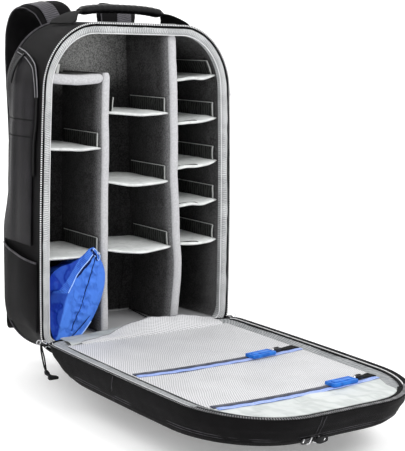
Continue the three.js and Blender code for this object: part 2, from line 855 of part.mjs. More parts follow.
// Shelves with a fastening tab up each end. left and right are the heights of the ends, as
// shares of the bag's height. sag drops the middle of the front edge and bow pushes it
// forward, as shares of the largest sag and bow.
const shelfTable = [
  { name: "shelf_middle_1", column: "middle", left: 0.735, right: 0.731, sag: 0.5, bow: 0.78 },
  { name: "shelf_middle_2", column: "middle", left: 0.528, right: 0.522, sag: 1, bow: 1 },
  { name: "shelf_middle_3", column: "middle", left: 0.3205, right: 0.315, sag: 0.83, bow: 1 },
  { name: "shelf_left_1", column: "left", left: 0.635, right: 0.63, sag: 0.33, bow: 0.44 },
  { name: "shelf_left_2", column: "left", left: 0.3225, right: 0.3186, sag: 0.33, bow: 0.44 },
  { name: "shelf_right_1", column: "right", left: 0.831, right: 0.846, sag: 0.5, bow: 0.56 },
  { name: "shelf_right_2", column: "right", left: 0.695, right: 0.716, sag: 0.5, bow: 0.67 },
  { name: "shelf_right_3", column: "right", left: 0.5585, right: 0.578, sag: 0.5, bow: 0.67 },
  { name: "shelf_right_4", column: "right", left: 0.4415, right: 0.453, sag: 0.5, bow: 0.67 },
  { name: "shelf_right_5", column: "right", left: 0.3186, right: 0.3263, sag: 0.5, bow: 0.67 },
];

// The two faces that a shelf stands between, at a height.
const columnFaces = {
  left: (high) => [wallX(-1, high), leftDividerX(high) - leftDividerThick / 2],
  middle: (high) => [
    leftDividerX(high) + leftDividerThick / 2,
    rightDividerX(high) - rightDividerThick / 2,
  ],
  right: (high) => [rightDividerX(high) + rightDividerThick / 2, wallX(1, high)],
};

// Depth rows of a shelf: a share of its depth, with the share of the sag and bow there.
const shelfRows = [
  { deep: 0, drop: 1, bow: 1 },
  { deep: 0.3, drop: 0.7, bow: 0 },
  { deep: 1, drop: 0, bow: 0 },
];
const shelfColumns = [0, 0.14, 0.38, 0.62, 0.86, 1];

function addShelf({ name, column, ...row }) {
  const [left, right] = [row.left * bodyTall, row.right * bodyTall];
  const [sag, bow] = [row.sag * shelfSag, row.bow * shelfBow];
  const faces = columnFaces[column];
  const walls = { left: [curveGap, skinGap], middle: [skinGap, skinGap], right: [skinGap, curveGap] };
  const [gapLeft, gapRight] = walls[column];
  const front = frontY + shelfSetback + bow;
  const back = roomBack - shelfBackGap;
  const grid = (upper) => shelfRows.map((row) => {
    const points = [];
    const tab = (side, foot) => {
      const steps = side < 0 ? [1, 0.5] : [0.5, 1];
      return steps.map((step) => {
        const high = foot + tabTall * step;
        const face = faces(high)[side < 0 ? 0 : 1];
        const x = face - side * ((side < 0 ? gapLeft : gapRight) + (upper ? tabThick : 0));
        const y = mix(front + tabSetback, back, row.deep);
        return spot(x, y, high);
      });
    };
    points.push(...tab(-1, left));
    for (const share of shelfColumns) {
      const high = mix(left, right, share);
      const [from, to] = faces(high);
      const corner = share === 0 || share === 1;
      const arch = Math.sin(Math.PI * share);
      const inset = corner && upper ? tabThick : 0;
      const x = mix(from + gapLeft + inset, to - gapRight - inset, share);
      const y = mix(front, back, row.deep) - bow * row.bow * arch ** 0.7;
      const pinch = corner ? 0.62 : 1;
      const rise = upper ? shelfThick * pinch : 0;
      points.push(spot(x, y, high - sag * row.drop * arch + rise));
    }
    points.push(...tab(1, right));
    return points;
  });
  addSheet(name, grid(true), grid(false), looks.shelfNylon);
}

// Rain cover pouch: high is a share of its height; left, right, front and back are the
// reaches of the section from its middle, as shares of half its width and depth.
const coverSections = [
  { high: 0, middle: -0.28, wide: 0.2, front: 0.86, back: 0.3 },
  { high: 0.07, middle: -0.24, wide: 0.46, front: 0.98, back: 0.75 },
  { high: 0.22, middle: -0.12, wide: 0.74, front: 1.06, back: 0.95 },
  { high: 0.42, middle: -0.04, wide: 0.9, front: 1.12, back: 1 },
  { high: 0.6, middle: 0, wide: 0.95, front: 1.14, back: 1 },
  { high: 0.76, middle: 0.02, wide: 0.92, front: 1.15, back: 0.9 },
  { high: 0.8, middle: 0.06, wide: 0.86, front: 1.15, back: 0.7 },
  { high: 0.815, middle: 0.1, wide: 0.82, front: 1.15, back: -1 },
  { high: 0.9, middle: 0.3, wide: 0.56, front: 1.14, back: -1 },
  { high: 0.97, middle: 0.5, wide: 0.3, front: 1.12, back: -1 },
  { high: 1, middle: 0.6, wide: 0.12, front: 1.08, back: -1.01 },
];

const coverFoot = roomFloor + seatGap;

function coverRing(section) {
  const high = coverFoot + section.high * coverShare * bodyTall;
  const [left, right] = columnFaces.left(Math.min(high, shelfTable[4].left * bodyTall));
  const half = (right - left) / 2 - curveGap;
  const x = (left + right) / 2 + section.middle * half;
  const middleY = frontY + dividerSetback + coverDeep / 2;
  const front = middleY - (section.front * coverDeep) / 2;
  const back = middleY + (section.back * coverDeep) / 2;
  const sides = 12;
  const ring = [];
  for (let i = 0; i < sides; i++) {
    const turn = (i / sides) * Math.PI * 2;
    const [across, deep] = [Math.cos(turn), Math.sin(turn)];
    const round = (value) => Math.sign(value) * Math.abs(value) ** 0.8;
    const y = mix(front, back, (round(deep) + 1) / 2);
    ring.push(spot(x + round(across) * section.wide * half, y, high));
  }
  return ring;
}

function rainCover() {
  addLoft("rain_cover", coverSections.map(coverRing), looks.blueNylon);
}

// Carrying handle: a padded grip between two flared feet on the crown.

function handleGrip() {
  const shares = [-1, -0.93, -0.8, -0.5, 0, 0.5, 0.8, 0.93, 1];
  const stations = shares.map((share) => {
    const near = 1 - Math.abs(share);
    const drop = Math.abs(share) ** 3 * gripSag;
    const size = near === 0 ? 0.6 : near < 0.1 ? 0.85 : 1;
    return {
      at: spot((share * gripLong) / 2, frontY + gripBack, gripHigh - drop),
      side: spot(0, 1, 0),
      wide: gripDeep * size,
      thick: gripThick * size,
    };
  });
  addBar("handle_grip", stations, looks.satinNylon);
}

// The crown's height at a distance from the middle.
function crownAt(x) {
  const form = bodyForm(deepAt(0), 0);
  const flat = bodyWide / 2 - form.inset - form.across;
  const past = hold((Math.abs(x) / swell(form.top) - flat) / form.across, 0, 1);
  return form.top - form.down * (1 - Math.sqrt(1 - past ** 2));
}

function handleFeet(side, name) {
  const end = gripLong / 2 + seatGap;
  const rows = [
    { run: 0, wide: gripDeep * 0.8, rise: 1 },
    { run: 0.3, wide: gripDeep * 1.25, rise: 0.86 },
    { run: 0.62, wide: mix(gripDeep, handleFootWide, 0.62), rise: 0.5 },
    { run: 0.88, wide: handleFootWide, rise: 0.14 },
    { run: 1, wide: handleFootWide * 0.92, rise: 0 },
  ];
  const stations = rows.map(({ run, wide, rise }) => {
    const x = side * mix(end, handleFoot, run);
    const rest = crownAt(x) + seatGap + handleFootThick / 2;
    const z = mix(rest, gripHigh - gripSag, rise);
    return {
      at: spot(x, frontY + gripBack, z),
      side: spot(0, 1, 0),
      wide,
      thick: handleFootThick,
    };
  });
  addBar(name, stations, looks.blackWebbing);
}

// Shoulder straps. out is the strap's middle as a share of half the bag's width, behind
// the distance behind the back as a share of the strap's width, high a share of the bag's
// height, wide and thick shares of the strap's own.
const strapRoute = [
  { out: 0.3, behind: 0, high: 0.88, wide: 0.85, thick: 0.55, tilt: 0 },
  { out: 0.31, behind: 0, high: 0.94, wide: 0.9, thick: 0.6, tilt: 0 },
  { out: 0.33, behind: 0.1, high: 0.998, wide: 0.95, thick: 0.75, tilt: 0.05 },
  { out: 0.37, behind: 0.3, high: 1.04, wide: 1, thick: 0.95, tilt: 0.14 },
  { out: 0.43, behind: 0.62, high: 1.05, wide: 1, thick: 1, tilt: 0.2 },
  { out: 0.48, behind: 0.88, high: 1.032, wide: 1, thick: 1, tilt: 0.2 },
  { out: 0.51, behind: 1.02, high: 0.985, wide: 1, thick: 1, tilt: 0.12 },
  { out: 0.52, behind: 1.04, high: 0.92, wide: 1, thick: 1, tilt: 0.05 },
  { out: 0.53, behind: 0.94, high: 0.82, wide: 1, thick: 1, tilt: 0 },
  { out: 0.54, behind: 0.78, high: 0.7, wide: 1, thick: 1, tilt: 0 },
  { out: 0.56, behind: 0.62, high: 0.59, wide: 0.98, thick: 0.95, tilt: 0 },
  { out: 0.59, behind: 0.52, high: 0.5, wide: 0.85, thick: 0.85, tilt: 0 },
  { out: 0.61, behind: 0.48, high: 0.455, wide: 0.55, thick: 0.6, tilt: 0 },
];

const backSpot = (row) => spot(
  (row.out * bodyWide) / 2,
  backY + seatGap + row.behind * strapWide,
  row.high * bodyTall,
);

function strapStations() {
  return strapRoute.map((row) => ({
    at: backSpot(row).add(spot(0, (row.thick * strapThick) / 2, 0)),
    side: spot(1, 0, -row.tilt).normalize(),
    wide: row.wide * strapWide,
    thick: row.thick * strapThick,
  }));
}

function shoulderStrap(side, name) {
  addBar(name, strapStations(), looks.shellNylon, side);
}

// A webbing sewn down the outer face of the strap's upper half.
function strapWebbing(side, name) {
  const strap = strapStations();
  const stations = strap.map((station, i) => {
    const along = alongAt(strap, i);
    const across = station.side.clone().addScaledVector(along, -station.side.dot(along));
    const face = new THREE.Vector3().crossVectors(across.normalize(), along);
    const lift = (station.thick + webbingThick) / 2 + curveGap + seatGap;
    const at = station.at.clone().addScaledVector(face, lift);
    return { at, side: station.side, wide: webbingWide, thick: webbingThick };
  });
  addBar(name, stations.slice(3, 11), looks.greyWebbing, side);
}

// The slack webbing from the strap's end to the bag's lower back corner.
const lowerRoute = [
  { out: 0.615, behind: 0.55, high: 0.447 },
  { out: 0.63, behind: 0.68, high: 0.37 },
  { out: 0.665, behind: 0.88, high: 0.25 },
  { out: 0.705, behind: 0.98, high: 0.135 },
  { out: 0.725, behind: 0.88, high: 0.062 },
  { out: 0.72, behind: 0.55, high: 0.038 },
  { out: 0.69, behind: 0.2, high: 0.06 },
  { out: 0.665, behind: 0.016, high: 0.115 },
  { out: 0.66, behind: 0.016, high: 0.155 },
];

function lowerWebbing(side, name) {
  const stations = lowerRoute.map((row) => ({
    at: backSpot(row),
    side: spot(1, 0, 0),
    wide: webbingWide,
    thick: webbingThick,
  }));
  addBar(name, stations, looks.blackWebbing, side);
}

// Sliders and pulls at the hinge corners, on the side pocket and on the panel's far wall

// Where the two zips meet at a foot corner of the rim, on one side.
function zipCorner(side) {
  const rim = rimForm(0);
  const x = side * reach(rim, rimLift + rimFootRound) + lean(rimLift);
  return spot(x - side * cornerInset, frontY - zipThick - 2 * seatGap - sliderLong / 2, sliderHigh);
}

function cornerSliders() {
  const size = { long: sliderLong, wide: sliderWide, thick: sliderThick };
  addBlock("corner_slider_left", size, zipCorner(-1), -Math.PI / 2, looks.blackMetal);
  addBlock("corner_slider_right", size, zipCorner(1), -Math.PI / 2, looks.blackMetal);
}

// The left slider's cord hangs from its outer side to the floor, where its tab lies. out,
// ahead and drop are shares of the slider's height; wide is a share of the tab's width.
const cordRoute = [
  { out: 0, ahead: 0.05, drop: -0.03 },
  { out: 0.045, ahead: 0.15, drop: 0.15 },
  { out: 0.08, ahead: 0.33, drop: 0.43 },
  { out: 0.12, ahead: 0.56, drop: 0.71 },
  { out: 0.162, ahead: 0.783, drop: 0.859 },
];
const tabRoute = [
  { out: 0.165, ahead: 0.802, drop: 0.872, wide: 0.4 },
  { out: 0.19, ahead: 0.93, drop: 0.914, wide: 0.7 },
  { out: 0.237, ahead: 1.16, drop: 0.934, wide: 1 },
  { out: 0.263, ahead: 1.29, drop: 0.944, wide: 0.85 },
];

function cornerPull() {
  const start = zipCorner(-1);
  const x = start.x - (sliderWide + cordThick) / 2 - skinGap;
  const place = (row) => spot(
    x - row.out * sliderHigh,
    start.y - row.ahead * sliderHigh,
    start.z - row.drop * sliderHigh,
  );
  addCord("corner_cord_left", cordRoute.map(place), cordThick, looks.blackWebbing);
  const stations = tabRoute.map((row) => ({
    at: place(row),
    side: spot(1, 0, 0),
    wide: row.wide * tabSize,
    thick: tabPullThick,
  }));
  addBar("corner_tab_left", stations, looks.blackRubber);
}

// The outer pocket's slider and its tab lie against the panel's far wall.
function frontPulls() {
  const high = frontPullHigh;
  const top = (high + sliderThick / 2) / panelDeep;
  const wall = hingeY + rimLift - panelForm(top, 0).top;
  const slider = { long: sliderLong, wide: sliderWide * 0.8, thick: sliderThick * 0.8 };
  const tab = { long: frontTabLong, wide: sliderWide, thick: tabPullThick };
  const seatOf = (size) => wall - seatGap - size.wide / 2;
  addBlock("front_slider", slider, spot(frontPullAt, seatOf(slider), high), 0, looks.blackMetal);
  const beside = frontPullAt + (sliderLong + frontTabLong) / 2 + seatGap;
  addBlock("front_tab", tab, spot(beside, seatOf(tab), high), 0, looks.blackRubber);
}

// The side zip's pull hangs from its upper end, outside the pocket: drop is a share of its
// length, out of the pocket's fullness, wide and thick of its own.
const sidePullShape = [
  { drop: 0, out: 0.2, wide: 0.6, thick: 0.62 },
  { drop: 0.08, out: 0.45, wide: 0.75, thick: 0.8 },
  { drop: 0.2, out: 0.85, wide: 0.9, thick: 0.95 },
  { drop: 0.5, out: 1.4, wide: 1, thick: 1 },
  { drop: 0.8, out: 1.62, wide: 1, thick: 1 },
  { drop: 1, out: 1.7, wide: 0.75, thick: 0.7 },
];

function sidePull() {
  const edge = upperEdge[upperEdge.length - 1];
  const y = frontY + edge.ahead * bodyDeep - sideZipWide;
  const top = edge.high * bodyTall + sideZipWide * 0.6;
  const over = skinGap + sideZipThick + seatGap;
  const stations = sidePullShape.map((row) => ({
    at: sideSpot(-1, y, top - row.drop * sidePullLong, over + row.out * upperPuff),
    side: spot(0, 1, 0),
    wide: row.wide * sidePullWide,
    thick: row.thick * tabPullThick,
  }));
  addBar("side_pull_left", stations, looks.blackRubber);
}

bodyShell();
bodyLiner();
bodyZip();
backPad();
for (const [side, word] of [[-1, "left"], [1, "right"]]) {
  upperPocket(side, `side_pocket_${word}`);
  bootPocket(side, `boot_pocket_${word}`);
  sideZip(side, `side_zip_${word}`);
  handleFeet(side, `handle_foot_${word}`);
  shoulderStrap(side, `shoulder_strap_${word}`);
  strapWebbing(side, `strap_webbing_${word}`);
  lowerWebbing(side, `lower_webbing_${word}`);
}
handleGrip();
panelShell();
panelLiner();
panelZip();
panelPiping();
hingeBand();
hingeGusset();
meshPockets();
pocketZips();
pocketPulls();
addDivider("divider_left", leftDividerBow, leftDividerTop, leftDividerAt, leftDividerThick);
addDivider("divider_right", rightDividerBow, rightDividerTop, rightDividerAt, rightDividerThick);
topShelf();
shelfTable.forEach(addShelf);
rainCover();
cornerSliders();
cornerPull();
frontPulls();
sidePull();

export default bag;
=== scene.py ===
"""Camera backpack, unzipped and laid open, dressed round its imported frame.

Lengths are millimetres until a mesh is made. X runs to the right as one looks into the bag,
Y into the bag and Z up, from the middle of the flat base.
"""

import logging
import math
from dataclasses import dataclass
from enum import Enum
from typing import Callable, Optional, Sequence

import bmesh
import bpy
import numpy as np
from mathutils import Matrix, Vector


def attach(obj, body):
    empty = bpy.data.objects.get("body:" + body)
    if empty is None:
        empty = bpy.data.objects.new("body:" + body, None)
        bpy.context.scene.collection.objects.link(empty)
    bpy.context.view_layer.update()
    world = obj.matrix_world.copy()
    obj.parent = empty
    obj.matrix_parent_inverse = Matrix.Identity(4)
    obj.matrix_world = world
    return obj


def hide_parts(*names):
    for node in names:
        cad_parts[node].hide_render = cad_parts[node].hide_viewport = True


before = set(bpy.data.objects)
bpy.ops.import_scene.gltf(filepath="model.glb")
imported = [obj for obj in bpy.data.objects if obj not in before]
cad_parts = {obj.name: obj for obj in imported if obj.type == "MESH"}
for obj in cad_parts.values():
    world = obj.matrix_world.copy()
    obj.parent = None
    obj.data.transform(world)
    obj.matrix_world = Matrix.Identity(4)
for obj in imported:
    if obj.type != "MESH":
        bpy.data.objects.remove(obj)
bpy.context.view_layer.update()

log = logging.getLogger("backpack")
MM = 0.001
TURN = 2 * math.pi
Colour = tuple[float, float, float]


class Side(Enum):
    """The two sides of the bag, with the sign of their X."""

    LEFT = -1
    RIGHT = 1

    @property
    def word(self) -> str:
        """The side's name as the nodes spell it."""
        return self.name.lower()


# Shapes worked out from short tables


def eased(at: np.ndarray, places: Sequence[float], values: Sequence) -> np.ndarray:
    """Smooth curve through a short table.

    Args:
        at: where the curve is read.
        places: the table's rising places.
        values: a number or a point for each place.

    Returns:
        The curve's values at those places.
    """
    xs, ys = np.asarray(places, float), np.asarray(values, float)
    at = np.clip(np.atleast_1d(np.asarray(at, float)), xs[0], xs[-1])
    flat = ys.ndim == 1
    ys = ys[:, None] if flat else ys
    step = np.diff(xs)[:, None]
    rise = np.diff(ys, axis=0) / step
    slope = np.concatenate([rise[:1], (rise[1:] + rise[:-1]) / 2, rise[-1:]])
    if flat:
        turning = rise[1:] * rise[:-1] <= 0
        slope[1:-1] = np.where(turning, 0, slope[1:-1])
    i = np.clip(np.searchsorted(xs, at, side="right") - 1, 0, len(xs) - 2)
    t = ((at - xs[i]) / step[i, 0])[:, None]
    h = step[i]
    out = (
        (2 * t**3 - 3 * t**2 + 1) * ys[i]
        + (t**3 - 2 * t**2 + t) * h * slope[i]
        + (3 * t**2 - 2 * t**3) * ys[i + 1]
        + (t**3 - t**2) * h * slope[i + 1]
    )
    return out[:, 0] if flat else out


def bump_at(at: np.ndarray, centre: float, width: float) -> np.ndarray:
    """A soft hump of height 1 round a centre."""
    return np.exp(-(((at - centre) / width) ** 2))


def fade(at: np.ndarray, low: float, high: float) -> np.ndarray:
    """Smooth step from 0 at low to 1 at high."""
    t = np.clip((at - low) / (high - low), 0, 1)
    return t * t * (3 - 2 * t)


@dataclass(frozen=True)
class Ripple:
    """Soft irregular waves in space, the same on every run."""

    seed: int
    size: float
    waves: int = 7

    def __call__(self, points: np.ndarray) -> np.ndarray:
        """The waves' height, about -1 to 1, at each point."""
        rng = np.random.default_rng(self.seed)
        ways = rng.normal(size=(self.waves, 3))
        ways /= np.linalg.norm(ways, axis=1)[:, None]
        ways *= (TURN / (self.size * rng.uniform(0.7, 1.5, self.waves)))[:, None]
        phase = rng.uniform(0, TURN, self.waves)
        return np.sin(points @ ways.T + phase).sum(-1) / math.sqrt(self.waves)


@dataclass(frozen=True)
class Form:
    """One section of the bag's outline: how far it is drawn in, and its corners."""

    inset: float
    base: float
    top: float
    across: float
    down: float
    foot: float


@dataclass(frozen=True)
class Outline:
    """The bag's outline and how it changes from the zip rim to the back."""

    wide: float = 340
    tall: float = 521
    deep: float = 150
    rim_lift: float = 22
    bulge: float = 4.8
    spread: float = 10.3
    lean: float = 2.8
    across: float = 90
    down: float = 99
    rim_foot: float = 30
    foot: float = 85
    back_round: float = 26
    panel_long: float = 499
    panel_deep: float = 42
    panel_across: float = 110
    panel_down: float = 130
    hinge: float = 83
    waist: float = 11

    depths = (0, 0.05, 0.13, 0.26, 0.5, 0.78, 0.89, 0.96, 1)
    lifts = (1, 0.62, 0.24, 0, 0, 0, 0, 0, 0)
    heels = (0, 0.3, 0.6, 0.92, 1, 1, 1, 1, 1)
    tucks = (0, -0.02, -0.04, -0.05, -0.05, 0, 0.2, 0.52, 1)
    ups = (0, 0.08, 0.3, 0.66, 1)
    panel_side = (0.2, 0.09, 0.01, -0.04, 0)
    panel_near = (1.3, 1.05, 0.6, 0.2, 0)
    panel_far = (0.74, 0.58, 0.38, 0.16, 0)
    panel_heel = (0.9, 0.85, 0.6, 0.25, 0)

    @property
    def front(self) -> float:
        """Y of the zip rim."""
        return -self.deep / 2

    def height_share(self, high: np.ndarray) -> np.ndarray:
        """Share of the way from the rim's foot to the crown."""
        return np.clip((high - self.rim_lift) / (self.tall - self.rim_lift), 0, 1)

    def place(self, x: np.ndarray, high: np.ndarray) -> np.ndarray:
        """X on the swollen, slightly leaning bag, from X on the plain outline."""
        share = self.height_share(high)
        puff = self.bulge * 4 * share * (1 - share) + self.spread * (0.5 - share)
        return x * (1 + puff / (self.wide / 2)) + self.lean * (1 - share)

    def body(self, share: float, inset: float) -> Form:
        """The section at a share of the depth, drawn in by so many millimetres."""
        tuck = eased(share, self.depths, self.tucks)[0] * self.back_round
        heel = eased(share, self.depths, self.heels)[0]
        foot = self.rim_foot + heel * (self.foot - self.rim_foot)
        seat = eased(share, self.depths, self.lifts)[0] * self.rim_lift + max(tuck, 0)
        return Form(
            inset + tuck,
            seat + inset,
            self.tall - inset - max(tuck, 0),
            self.across - inset,
            self.down - inset,
            foot - inset,
        )

    def panel(self, up: float, inset: float) -> Form:
        """The front panel's section at a share of its height."""
        side, near, far, heel = (
            eased(up, self.ups, row)[0] * scale
            for row, scale in (
                (self.panel_side, self.panel_deep),
                (self.panel_near, self.panel_deep),
                (self.panel_far, self.panel_deep),
                (self.panel_heel, self.foot - self.rim_foot),
            )
        )
        return Form(
            inset + side,
            self.rim_lift + inset + near,
            self.rim_lift + self.panel_long - inset - far,
            self.panel_across - inset,
            self.panel_down - inset,
            self.rim_foot + heel - inset,
        )

    def loop(self, form: Form, count: int) -> np.ndarray:
        """Evenly spaced points round a section.

        Args:
            form: the section.
            count: how many points.

        Returns:
            Rows of x and height, from the foot's middle up the right side.
        """
        half = self.wide / 2 - form.inset
        turn = np.linspace(0, math.pi / 2, 28)

        def corner(x: float, high: float, wide: float, tall: float, start: float) -> np.ndarray:
            """A quarter of an ellipse from a starting angle."""
            angle = start + turn
            return np.stack([x + wide * np.cos(angle), high + tall * np.sin(angle)], 1)

        low, top = form.base + form.foot, form.top - form.down
        rise = np.linspace(0, 1, 30)[1:-1, None]
        right = np.array([half, low]) + rise * np.array([0, top - low])
        left = np.array([-half, top]) + rise * np.array([0, low - top])
        dense = np.concatenate(
            [
                [[0, form.base]],
                corner(half - form.foot, low, form.foot, form.foot, -math.pi / 2),
                right,
                corner(half - form.across, top, form.across, form.down, 0),
                [[0, form.top]],
                corner(-half + form.across, top, form.across, form.down, math.pi / 2),
                left,
                corner(-half + form.foot, low, form.foot, form.foot, math.pi),
                [[0, form.base]],
            ]
        )
        dense[:, 0] = self.place(dense[:, 0], dense[:, 1])
        run = np.concatenate([[0], np.cumsum(np.linalg.norm(np.diff(dense, axis=0), axis=1))])
        at = np.arange(count) / count * run[-1]
        return np.stack([np.interp(at, run, dense[:, 0]), np.interp(at, run, dense[:, 1])], 1)

    def pinch(self, y: np.ndarray, high: np.ndarray) -> np.ndarray:
        """How far the side walls are drawn in towards the back at mid-height."""
        tall = fade(high, 190, 290) * (1 - fade(high, 370, 425))
        return self.waist * tall * fade(y, -10, 62)

    def body_ring(self, y: float, inset: float, count: int, share: Optional[float] = None) -> np.ndarray:
        """Points in space round the body at a depth.

        Args:
            y: where the ring stands.
            inset: how far it is drawn in.
            count: how many points.
            share: the depth whose section is used, where it isn't the ring's own.

        Returns:
            One point a row.
        """
        own = (y - self.front) / self.deep if share is None else share
        flat = self.loop(self.body(min(max(own, 0), 1), inset), count)
        side = np.clip(flat[:, 0] / (self.wide / 2 - 20), -1, 1)
        x = flat[:, 0] - side * self.pinch(np.full(count, y), flat[:, 1])
        return np.stack([x, np.full(count, y), flat[:, 1]], 1)

    def panel_ring(self, z: float, inset: float, count: int) -> np.ndarray:
        """Points in space round the front panel at a height above the floor."""
        flat = self.loop(self.panel(min(max(z / self.panel_deep, 0), 1), inset), count)
        y = -self.hinge - (flat[:, 1] - self.rim_lift)
        return np.stack([flat[:, 0], y, np.full(count, z)], 1)

    def side_x(self, form: Form, high: np.ndarray, side: int) -> np.ndarray:
        """X of a section's side wall at a height."""
        half = self.wide / 2 - form.inset
        crown = np.clip((high - (form.top - form.down)) / form.down, 0, 1)
        heel = np.clip((form.base + form.foot - high) / form.foot, 0, 1)
        x = half - form.across * (1 - np.sqrt(1 - crown**2))
        x = x - form.foot * (1 - np.sqrt(1 - heel**2))
        return self.place(side * x, high)


BAG = Outline()


# Meshes


def from_arrays(name: str, points: np.ndarray, faces: list, uv: Optional[np.ndarray] = None) -> bpy.types.Object:
    """Makes an object from points in millimetres.

    Args:
        name: the piece's name.
        points: one point a row.
        faces: corner numbers of each face.
        uv: one pair for each face corner, in metres.

    Returns:
        The new object, at the origin.
    """
    mesh = bpy.data.meshes.new(name)
    mesh.from_pydata((np.asarray(points) * MM).tolist(), [], faces)
    if uv is not None:
        layer = mesh.uv_layers.new(name="cloth")
        layer.data.foreach_set("uv", np.asarray(uv, float).ravel() * MM)
    mesh.update()
    piece = bpy.data.objects.new(name, mesh)
    bpy.context.scene.collection.objects.link(piece)
    return piece


def run_along(points: np.ndarray) -> np.ndarray:
    """Distance run along a row of points, from 0."""
    steps = np.linalg.norm(np.diff(points, axis=0), axis=1)
    return np.concatenate([[0], np.cumsum(steps)])


def signed_volume(points: np.ndarray, faces: list) -> float:
    """Volume that a closed skin holds, below 0 where it is inside out."""
    total = 0.0
    for face in faces:
        a = points[face[0]]
        for i in range(1, len(face) - 1):
            total += float(np.dot(a, np.cross(points[face[i]], points[face[i + 1]])))
    return total


def skin(name: str, grid: np.ndarray, ring: bool = False, caps: bool = False) -> bpy.types.Object:
    """A cloth surface over a grid of points.

    Args:
        name: the piece's name.
        grid: rows by columns by three, in millimetres.
        ring: whether the last column joins the first.
        caps: whether the first and last rows are closed, which makes a closed body.

    Returns:
        The new object, with its UV map in metres along the columns and the rows.
    """
    rows, columns = grid.shape[:2]
    points = grid.reshape(-1, 3)
    middle = grid[rows // 2]
    u = run_along(np.concatenate([middle, middle[:1]]) if ring else middle)
    v = run_along(grid[:, columns // 4])
    faces, uv = [], []
    for r in range(rows - 1):
        for c in range(columns if ring else columns - 1):
            d = (c + 1) % columns
            faces.append((r * columns + c, r * columns + d, (r + 1) * columns + d, (r + 1) * columns + c))
            uv += [(u[c], v[r]), (u[c + 1], v[r]), (u[c + 1], v[r + 1]), (u[c], v[r + 1])]
    if caps:
        for row, order in ((0, -1), (rows - 1, 1)):
            start = row * columns
            points = np.concatenate([points, grid[row].mean(0)[None]])
            centre = len(points) - 1
            for c in range(columns):
                pair = (start + c, start + (c + 1) % columns)[::order]
                faces.append((*pair, centre))
                uv += [tuple(points[i][[0, 2]]) for i in (*pair, centre)]
        if signed_volume(points, faces) < 0:
            faces = [face[::-1] for face in faces]
            ends = np.cumsum([len(face) for face in faces])
            uv = [p for end, face in zip(ends, faces) for p in uv[end - len(face) : end][::-1]]
    return from_arrays(name, points, faces, np.array(uv))


def slab(name: str, top: np.ndarray, low: np.ndarray, edge: float = 0.5) -> bpy.types.Object:
    """A closed sheet between an upper and a lower grid, with rounded edges.

    Args:
        name: the piece's name.
        top: rows by columns by three, in millimetres.
        low: the same for the other face.
        edge: how far the rounded edge stands out, as a share of the thickness.

    Returns:
        The new object.
    """
    rows, columns = top.shape[:2]
    rim = [(0, c) for c in range(columns)] + [(r, columns - 1) for r in range(1, rows)]
    rim += [(rows - 1, c) for c in range(columns - 2, -1, -1)]
    rim += [(r, 0) for r in range(rows - 2, 0, -1)]
    count = rows * columns
    points = [top.reshape(-1, 3), low.reshape(-1, 3)]
    r_in = [min(max(r, 1), rows - 2) for r, _ in rim]
    c_in = [min(max(c, 1), columns - 2) for _, c in rim]
    at = np.array(rim)
    high, deep = top[at[:, 0], at[:, 1]], low[at[:, 0], at[:, 1]]
    out = high - top[r_in, c_in]
    out /= np.maximum(np.linalg.norm(out, axis=1), 1e-6)[:, None]
    thick = np.linalg.norm(high - deep, axis=1)[:, None]
    points.append((high + deep) / 2 + out * thick * edge)
    points = np.concatenate(points)
    u, v = run_along(top[rows // 2]), run_along(top[:, columns // 2])
    faces, uv = [], []
    for r in range(rows - 1):
        for c in range(columns - 1):
            quad = [r * columns + c, r * columns + c + 1, (r + 1) * columns + c + 1, (r + 1) * columns + c]
            square = [(u[c], v[r]), (u[c + 1], v[r]), (u[c + 1], v[r + 1]), (u[c], v[r + 1])]
            faces += [tuple(quad), tuple(count + i for i in quad[::-1])]
            uv += square + square[::-1]
    for i, (r, c) in enumerate(rim):
        r2, c2 = rim[(i + 1) % len(rim)]
        a, b = r * columns + c, r2 * columns + c2
        m, n = 2 * count + i, 2 * count + (i + 1) % len(rim)
        faces += [(b, a, m, n), (n, m, count + a, count + b)]
        uv += [(u[c2], v[r2]), (u[c], v[r]), (u[c], v[r]), (u[c2], v[r2])] * 2
    if signed_volume(points, faces) < 0:
        faces = [face[::-1] for face in faces]
        uv = [p for i in range(0, len(uv), 4) for p in uv[i : i + 4][::-1]]
    return from_arrays(name, points, faces, np.array(uv))


def frames_along(path: np.ndarray, side: Optional[np.ndarray] = None, closed: bool = False) -> tuple:
    """Ways along, across and out of a route.

    Args:
        path: the route, one point a row.
        side: a wanted way across, for every point or one for all.
        closed: whether the route joins up with itself.

    Returns:
        Three arrays of unit vectors: along, across and out.
    """
    if closed:
        along = np.roll(path, -1, 0) - np.roll(path, 1, 0)
    else:
        along = np.gradient(path, axis=0)
    along /= np.linalg.norm(along, axis=1)[:, None]
    if side is None:
        start = np.cross(along[0], (0.13, 0.29, 0.95))
        across = [start / np.linalg.norm(start)]
        for way in along[1:]:
            turned = across[-1] - way * np.dot(across[-1], way)
            across.append(turned / np.linalg.norm(turned))
        across = np.array(across)
    else:
        across = np.broadcast_to(np.asarray(side, float), along.shape)
        across = across - along * (across * along).sum(1)[:, None]
        across /= np.linalg.norm(across, axis=1)[:, None]
    return along, across, np.cross(across, along)


